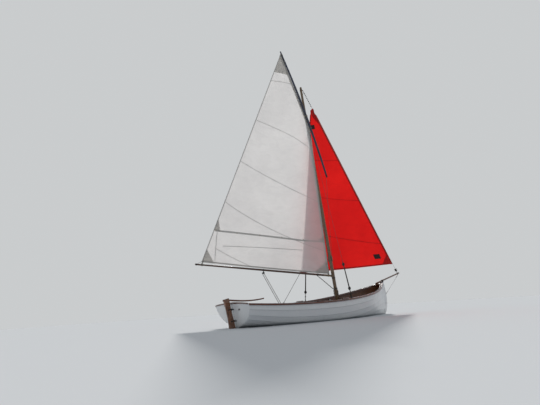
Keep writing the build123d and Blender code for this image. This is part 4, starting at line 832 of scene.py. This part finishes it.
# A ferrule on the boom's end and a turned knob on the yard's heel, as (distance along, radius)
FERRULE = ((0, 0.0202), (0.001, 0.0212), (0.030, 0.0206), (0.040, 0.0150), (0.043, 0.0))
KNOB = ((0, 0.0212), (0.008, 0.0222), (0.020, 0.0205), (0.024, 0.0120), (0.030, 0.0165), (0.044, 0.0225),
        (0.056, 0.0190), (0.064, 0.0))
tips = Builder()
tips.turned(boom_point(3.00), boom_axis, FERRULE)
heel_axis = (yard_point(0) - yard_point(0.02)).normalized()
tips.turned(yard_point(0) - heel_axis * 0.02, heel_axis, KNOB, 20)
tips.make("spar_ends", BLOCK, "rig", "dark_block")

# Hoop round the mast at the yard's crossing, and the sling round the yard
CROSSING_Z = 4.74
crossing_t = (CROSSING_Z - YARD_HEEL[1]) / (YARD_PEAK[1] - YARD_HEEL[1])
hoop = Builder()
hoop.loop(mast_point(CROSSING_Z), up_mast, mast_radius(CROSSING_Z) + 0.008, 0.0048, 32)
hoop.make("mast_hoop", BLACK_IRON, "rig", "galvanised_steel")
sling = Builder()
yard_axis = (yard_point(crossing_t + 0.02) - yard_point(crossing_t - 0.02)).normalized()
for k in range(5):
    sling.loop(yard_point(crossing_t) + yard_axis * (0.0085 * (k - 2)), yard_axis,
               yard_radius(crossing_t) + 0.0034, 0.0034, 22)
sling.make("yard_sling", ROPE, "rig", "rope")


# Halyards down the mast's port side. The first goes over the masthead.
def beside_mast(z, turn, clear=0.006):
    """A point clear metres off the mast's skin, turn degrees from forward to port."""
    out = Vector((cos(radians(turn)), sin(radians(turn)), 0))
    return mast_point(z) + out * (mast_radius(z) + clear)


masthead = mast_point(5.43)
halyards = Builder()
halyards.tube([
    beside_mast(CROSSING_Z + 0.02, 50, 0.011),
    beside_mast(5.40, 50),
    masthead + Vector((0.012, 0.016, 0.042)),
    masthead + Vector((0.0, 0.012, 0.047)),
    masthead + Vector((-0.010, 0.016, 0.042)),
    beside_mast(5.40, 95),
    beside_mast(3.0, 80),
    beside_mast(1.40, 65),
    beside_mast(0.66, 80, 0.010),
], 0.0042)
halyards.tube([
    stay_point(5.36) + stay_aft * 0.012,
    beside_mast(5.28, 12, 0.007),
    beside_mast(3.0, 25, 0.006),
    beside_mast(1.42, 100, 0.008),
], 0.0036)
halyards.make("halyards", ROPE, "hull", "rope")

# Beads on the halyard between the jib's head and the masthead
BEADS = 9
BEAD = ((0, 0.004), (0.003, 0.0100), (0.010, 0.0135), (0.017, 0.0100), (0.020, 0.004))
beads = Builder()
for i in range(BEADS):
    beads.turned(stay_point(5.045 + 0.036 * i) - stay_up * 0.010, stay_up, BEAD, 12)
beads.make("halyard_beads", BLOCK, "hull", "dark_block")

# Turns of line made fast on the mast's cleats
CLEAT_HEIGHTS = (1.330, 0.570)
EIGHT_STEPS = 24
cleat_turns = Builder()
for z in CLEAT_HEIGHTS:
    for side in (1, -1):
        centre = mast_point(z) + Vector((0, side * (MAST_RADIUS + 0.0165), 0))
        for k in range(3):
            reach = 0.040 - 0.004 * k
            wide = 0.0125 + 0.002 * k
            path = []
            for i in range(EIGHT_STEPS):
                turn = 2 * pi * i / EIGHT_STEPS
                path.append(centre + up_mast * reach * sin(turn) + Vector((wide * sin(2 * turn), 0, 0))
                            + Vector((0, side * (0.004 * cos(turn) + 0.002 * k), 0)))
            cleat_turns.tube(path, 0.0038, 6, closed=True)
cleat_turns.make("cleat_turns", ROPE, "hull", "rope")

# Downhaul from the yard's heel to the mast's cleat, and the kicking line
DOWNHAUL_TOP = yard_point(0.012)
DOWNHAUL_FOOT = mast_point(1.36) + Vector((0.010, -MAST_RADIUS - 0.012, 0))
downhaul = Builder()
downhaul.tube([DOWNHAUL_FOOT.lerp(DOWNHAUL_TOP, i / 30) for i in range(31)], 0.0030)
line = downhaul.make("yard_downhaul", LINE, None, "rope")
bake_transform(line)
KICKER, KICKER_TURN = 0.0042, 0.0036
kick_top = boom_point(0.36, BOOM_RADIUS)
kick_foot = mast_point(0.655) + along_boom * (MAST_RADIUS + 0.012)
kicker = Builder()
kicker.tube([kick_top, kick_foot], KICKER)
kicker.tube([kick_top + along_boom * 0.018, kick_foot + along_boom * 0.012], KICKER)
for k in range(4):
    kicker.loop(boom_point(0.345 + 0.009 * k), boom_axis, BOOM_RADIUS + 0.002, KICKER_TURN, 22)
for k in range(3):
    kicker.loop(mast_point(0.648 + 0.010 * k), up_mast, MAST_RADIUS + 0.0085, KICKER_TURN, 26)
kicker.make("kicking_line", LINE, "rig", "rope")

# Mainsheet: two parts between the block on the thwart and the one under the boom
SHEET = 0.0055
low_block = Vector((-0.985, 0, 0.272))
high_block = boom_point(1.600, BOOM_RADIUS + 0.042)
sheet = Builder()
for shift in (-0.024, 0.024):
    low = low_block + FORE * shift
    high = high_block + FORE * shift
    sheet.tube([low.lerp(high, i / 24) for i in range(25)], SHEET)
mainsheet = sheet.make("mainsheet", LINE, None, "rope")
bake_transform(mainsheet)

# Port jib sheet, taut from the clew through its fairlead
JIB_SHEET = 0.0048
fairlead = Vector((-0.370, 0.734, 0.4145))
clew = jib.point(0.985, 0.010)
tail = Vector((-0.60, 0.56, 0.30))
jib_sheet = Builder()
jib_sheet.tube([clew.lerp(fairlead, i / 20) for i in range(21)], JIB_SHEET)
jib_sheet.tube([fairlead, tail], JIB_SHEET)
jib_sheet.loop(clew, (fairlead - clew).normalized(), 0.012, 0.0045, 16, 3, 0.006)
jib_sheet.make("jib_sheet", LINE, "hull", "rope")

# Shroud tackles with their shells and strops, in place of the lanyards
SHROUD_TOP = Vector((0.1361, 0.0487, 4.300))
CHAIN_EYE = Vector((0.277, 0.7256, 0.4485))
LOWER_BLOCK, UPPER_BLOCK = 0.180, 0.700
SHELL_HALF = 0.0135
SHELL = ((0, 0.0230), (0.004, 0.0300), (0.010, 0.0330), (0.017, 0.0330), (0.023, 0.0300), (0.027, 0.0230))
STROP_RADIUS = 0.0335
SHROUD_SERVING, STAY_SERVING = 0.0056, 0.0052
tackle = Builder()
servings = Builder()
shells = Builder()
for side in (1, -1):
    foot = Vector((CHAIN_EYE.x, side * CHAIN_EYE.y, CHAIN_EYE.z))
    top = Vector((SHROUD_TOP.x, side * SHROUD_TOP.y, SHROUD_TOP.z))
    run = (top - foot).normalized()
    lower, upper = foot + run * LOWER_BLOCK, foot + run * UPPER_BLOCK
    for shift in (-0.013, -0.004, 0.005, 0.014):
        tackle.tube([lower + FORE * shift + run * 0.015, upper + FORE * shift * 0.8 - run * 0.015], 0.0036)
    tackle.tube([foot + FORE * 0.007, lower + FORE * 0.009], 0.0042)
    tackle.tube([foot - FORE * 0.007, lower - FORE * 0.009], 0.0042)
    tackle.loop(foot.lerp(lower, 0.42), run, 0.0105, 0.0034, 18, 4, 0.0065)
    servings.tube([upper + run * 0.022, upper + run * 0.105], SHROUD_SERVING, 10)
    servings.tube([top - run * 0.110, top - run * 0.004], SHROUD_SERVING, 10)
    for centre in (lower, upper):
        shells.turned(centre - PORT * SHELL_HALF, PORT, SHELL, 22)
        for k in (-1, 0, 1):
            tackle.loop(centre + PORT * (0.006 * k), PORT, STROP_RADIUS - 0.003 * abs(k), 0.0042, 20)
        tackle.loop(centre + run * 0.041, run, 0.0080, 0.0040, 14, 3, 0.0066)
lashing = tackle.make("shroud_tackles", DARK_ROPE, "hull", "rope")
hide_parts("shroud_lanyards")
shells.make("shroud_block_shells", BLOCK, "hull", "dark_block")

# Servings on the ends of the jib's stay and the bobstay
servings.tube([stay_point(5.31), stay_point(5.388)], SHROUD_SERVING, 10)
bob_foot = Vector((2.325, 0, 0.482))
bob_top = Vector((2.862, 0, 0.930))
bob_run = (bob_top - bob_foot).normalized()
servings.tube([bob_foot + bob_run * 0.004, bob_foot + bob_run * 0.075], STAY_SERVING, 10)
servings.tube([bob_top - bob_run * 0.085, bob_top - bob_run * 0.010], STAY_SERVING, 10)
servings.make("wire_servings", DARK_ROPE, "hull", "rope")

# Furling line on the drum
drum = JIB_STAY_FOOT + stay_up * 0.077
furl = Builder()
furl.loop(drum, stay_up, 0.0175, 0.0034, 24, 4, 0.0078)
furl.make("furling_turns", DARK_ROPE, "hull", "rope")

# Capping along the transom's top edge, found by looking down on it. Its section is (up, aft).
TRANSOM_RAKE = radians(13.8)
CAP_HALF_WIDTH = 0.545
CAP_STEPS = 30
LOOK_FROM_X, LOOK_STEP, LOOKS = -2.260, 0.0015, 60
CAP_SECTION = ((-0.024, 0.0), (-0.024, 0.005), (-0.020, 0.008), (-0.004, 0.008), (0.002, 0.005),
               (0.003, -0.004))
aft_out = Vector((-cos(TRANSOM_RAKE), 0, -sin(TRANSOM_RAKE)))
transom_up = Vector((-sin(TRANSOM_RAKE), 0, cos(TRANSOM_RAKE)))


def look(node, start, direction):
    """Where a line from start first meets a CAD solid, and its normal there, or None twice."""
    hit, where, normal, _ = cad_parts[node].ray_cast(start, direction)
    return (where, normal) if hit else (None, None)


def transom_edge(y):
    for k in range(LOOKS):
        where, normal = look("transom", Vector((LOOK_FROM_X + LOOK_STEP * k, y, 1.0)), DOWN)
        if where is not None and normal.z > 0.5:
            return where
    return None


sections = []
for i in range(2 * CAP_STEPS + 1):
    y = CAP_HALF_WIDTH * (i / CAP_STEPS - 1)
    edge = transom_edge(y)
    if edge is not None:
        sections.append([(edge + transom_up * up + aft_out * out, up, y) for up, out in CAP_SECTION])
capping = Builder()
capping.rings(sections)
capping.make("transom_capping", RAIL, "hull", "varnished_mahogany")

# The small dark eye on the transom's starboard half
EYE_AT = Vector((-2.2106, -0.2302, 0.3404))
EYE_PLATE = ((0, 0.0160), (0.004, 0.0155), (0.006, 0.0090), (0.007, 0.0))
transom_eye = Builder()
transom_eye.turned(EYE_AT - aft_out * 0.001, aft_out, EYE_PLATE, 18)
transom_eye.loop(EYE_AT + aft_out * 0.016, PORT, 0.0105, 0.0028, 18)
transom_eye.make("transom_eye", BLACK_IRON, "hull", "galvanised_steel")

# Leather where the jaws bear on the mast, as (height, thickness over the mast)
WRAP = ((0.985, 0.0004), (0.990, 0.0006), (1.020, 0.0006), (1.025, 0.0004))
WRAP_SIDES = 28
leather = Nodes("worn_leather")
hide = leather.noise(leather.position(), 70, 5, 0.6)
leather.set(Base_Color=leather.ramp(hide, (0.3, (0.10, 0.055, 0.030)), (0.7, (0.20, 0.115, 0.062))),
            Roughness=0.62, Normal=leather.bump(hide, 0.3, 0.001))
wrap = Builder()
wrap.rings([
    [(mast_point(z) + around(FORE, PORT, j, WRAP_SIDES) * (mast_radius(z) + thick), j / WRAP_SIDES, z)
     for j in range(WRAP_SIDES)]
    for z, thick in WRAP
], caps=False)
wrap.make("mast_leather", leather.material, "hull", "varnished_spruce")

# Rivets through the laps at each rib, with heads outside the planking and roves inside the ribs
WELL_OUTSIDE = 2.0
RIB_AFT, RIB_SPACING, RIB_FORWARD = -1.960, 0.290, 1.75
LAPS_FROM, LAPS_TO, LAPS_STEP = 0.010, 0.62, 0.003
OVER_LAP = 0.010


def planking_width(x, z):
    """Half width of the planking's outside at x and z, and the strake there, seen from the side."""
    found = (0.0, 0)
    for k in range(1, STRAKES + 1):
        where, _ = look(f"strake_{k}", Vector((x, WELL_OUTSIDE, z)), STARBOARD)
        if where is not None and where.y > found[0]:
            found = (where.y, k)
    return found


def laps_at(x):
    """Rivet height, strake and half width where one strake gives way to a higher one."""
    last, z = 0, LAPS_FROM
    while z < LAPS_TO:
        width, strake = planking_width(x, z)
        if last and strake > last:
            yield z + OVER_LAP, strake, width
        last = max(strake, last) if strake else last
        z += LAPS_STEP


def rivet(builder, centre, outward, radius, height):
    builder.turned(centre - outward * 0.001, outward,
                   [(0, radius), (0.001 + height * 0.5, radius * 0.9), (0.001 + height, radius * 0.3)], 10)


heads, roves = Builder(), Builder()
rib_x = RIB_AFT
while rib_x < RIB_FORWARD:
    for z, strake, width in laps_at(rib_x):
        for side in (1, -1):
            outside = Vector((rib_x, side * WELL_OUTSIDE, z))
            where, normal = look(f"strake_{strake}", outside, Vector((0, -side, 0)))
            if where is not None:
                rivet(heads, where, normal, 0.0042, 0.0008)
            where, normal = look("ribs", Vector((rib_x, 0, z)), Vector((0, side, 0)))
            if where is not None and abs(where.y) < width:
                rivet(roves, where, normal, 0.0055, 0.0018)
    rib_x += RIB_SPACING
heads.make("rivet_heads", PAINT, "hull", "white_paint")
roves.make("rivet_roves", COPPER, "hull", "galvanised_steel")

# Floor at the water, with an opening for the hull, and a plain backdrop far away
FLOOR_INSET = 0.004
FLOOR_STEPS = 72
FLOOR_LEVEL = 0.0005
AFT_EDGE, FORWARD_EDGE = -2.118, 2.165
STEM_HALF = 0.012
FLOOR_RADIUS = 20
BEND, BEND_STEP = 14, 6  # the backdrop's bend: its radius in metres, its steps in degrees
WALL_HEIGHTS = (30, 50)
outline = []
for i in range(FLOOR_STEPS + 1):
    x = AFT_EDGE + (FORWARD_EDGE - AFT_EDGE) * i / FLOOR_STEPS
    outline.append((x, max(planking_width(x, FLOOR_LEVEL)[0] - FLOOR_INSET, STEM_HALF)))
outline += [(x, -y) for x, y in reversed(outline)]


def circle(count, radius):
    """count places round a circle, in the outline's order."""
    turns = [pi * (1 - 2 * (j + 0.5) / count) for j in range(count)]
    return [(radius * cos(turn), radius * sin(turn)) for turn in turns]


def surround(name, first, rings, material):
    """Joins first, a closed line of points, to rings given as (radius, height)."""
    count = len(first)
    points = [(x, y, 0) for x, y in first]
    for radius, height in rings:
        points += [(x, y, height) for x, y in circle(count, radius)]
    faces = [
        (r * count + j, r * count + (j + 1) % count, (r + 1) * count + (j + 1) % count, (r + 1) * count + j)
        for r in range(len(rings)) for j in range(count)
    ]
    obj = new_object(name, points, faces, material)
    return obj


paper = Nodes("plain_floor")
paper.set(Base_Color=(0.66, 0.675, 0.69), Roughness=0.95, Specular_IOR_Level=0.0)
wall = Nodes("plain_backdrop")
wall.set(Base_Color=(0, 0, 0), Roughness=1.0, Specular_IOR_Level=0.0,
         Emission_Color=(0.588, 0.604, 0.612), Emission_Strength=1.0)
surround("floor", outline, [(5, 0), (12, 0), (FLOOR_RADIUS, 0)], paper.material)
bend = [(FLOOR_RADIUS + BEND * sin(radians(a)), BEND * (1 - cos(radians(a))))
        for a in range(BEND_STEP, 91, BEND_STEP)]
walls = [(FLOOR_RADIUS + BEND, height) for height in WALL_HEIGHTS]
backdrop = surround("backdrop", circle(len(outline), FLOOR_RADIUS), bend + walls, wall.material)
# The backdrop is seen by the camera alone, so that it lights nothing
backdrop.visible_diffuse = False
backdrop.visible_glossy = False
backdrop.visible_shadow = False
backdrop.visible_transmission = False

# Light: an even studio sky, and a soft sun from beyond the sails, as in the photograph
SKY_COLOUR, SKY_STRENGTH = (0.90, 0.95, 1.0, 1), 0.50
SUN_FROM = Vector((0.56, 0.62, 0.62))
SUN_STRENGTH, SUN_WIDTH = 2.3, radians(5)
world = bpy.data.worlds.new("studio")
bpy.context.scene.world = world
world.use_nodes = True
world.node_tree.nodes["Background"].inputs["Color"].default_value = SKY_COLOUR
world.node_tree.nodes["Background"].inputs["Strength"].default_value = SKY_STRENGTH
key_data = bpy.data.lights.new("key", "SUN")
key_data.energy = SUN_STRENGTH
key_data.angle = SUN_WIDTH
key_data.color = (1.0, 0.97, 0.93)
key = bpy.data.objects.new("key", key_data)
key.rotation_mode = "QUATERNION"
key.rotation_quaternion = (-SUN_FROM).to_track_quat("-Z", "Y")
bpy.context.scene.collection.objects.link(key)

# Camera: fitted to the photograph, in which the boat heels. Here the camera leans instead.
HEEL = 0.10090
VIEW_YAW = 0.91663
FOCAL_PIXELS = 451.44
PHOTO_WIDTH = 540
HORIZON_ROW = 267.7
MIDDLE_ROW = 202.5
CAMERA_AT = Vector((-6.929, -7.2717, 1.1199))
pitch = atan((HORIZON_ROW - MIDDLE_ROW) / FOCAL_PIXELS)
ahead = Vector((cos(VIEW_YAW) * cos(pitch), sin(VIEW_YAW) * cos(pitch), sin(pitch)))
right = Vector((sin(VIEW_YAW), -cos(VIEW_YAW), 0))
upward = right.cross(ahead)
lean = Matrix.Rotation(HEEL, 3, "X")
camera_data = bpy.data.cameras.new("camera")
camera_data.sensor_fit = "HORIZONTAL"
camera_data.sensor_width = 36
camera_data.lens = FOCAL_PIXELS / PHOTO_WIDTH * camera_data.sensor_width
camera = bpy.data.objects.new("camera", camera_data)
bpy.context.scene.collection.objects.link(camera)
facing = Matrix((lean @ right, lean @ upward, -(lean @ ahead))).transposed()
camera.matrix_world = Matrix.Translation(lean @ CAMERA_AT) @ facing.to_4x4()
bpy.context.scene.camera = camera
bpy.context.scene.view_settings.view_transform = "Standard"
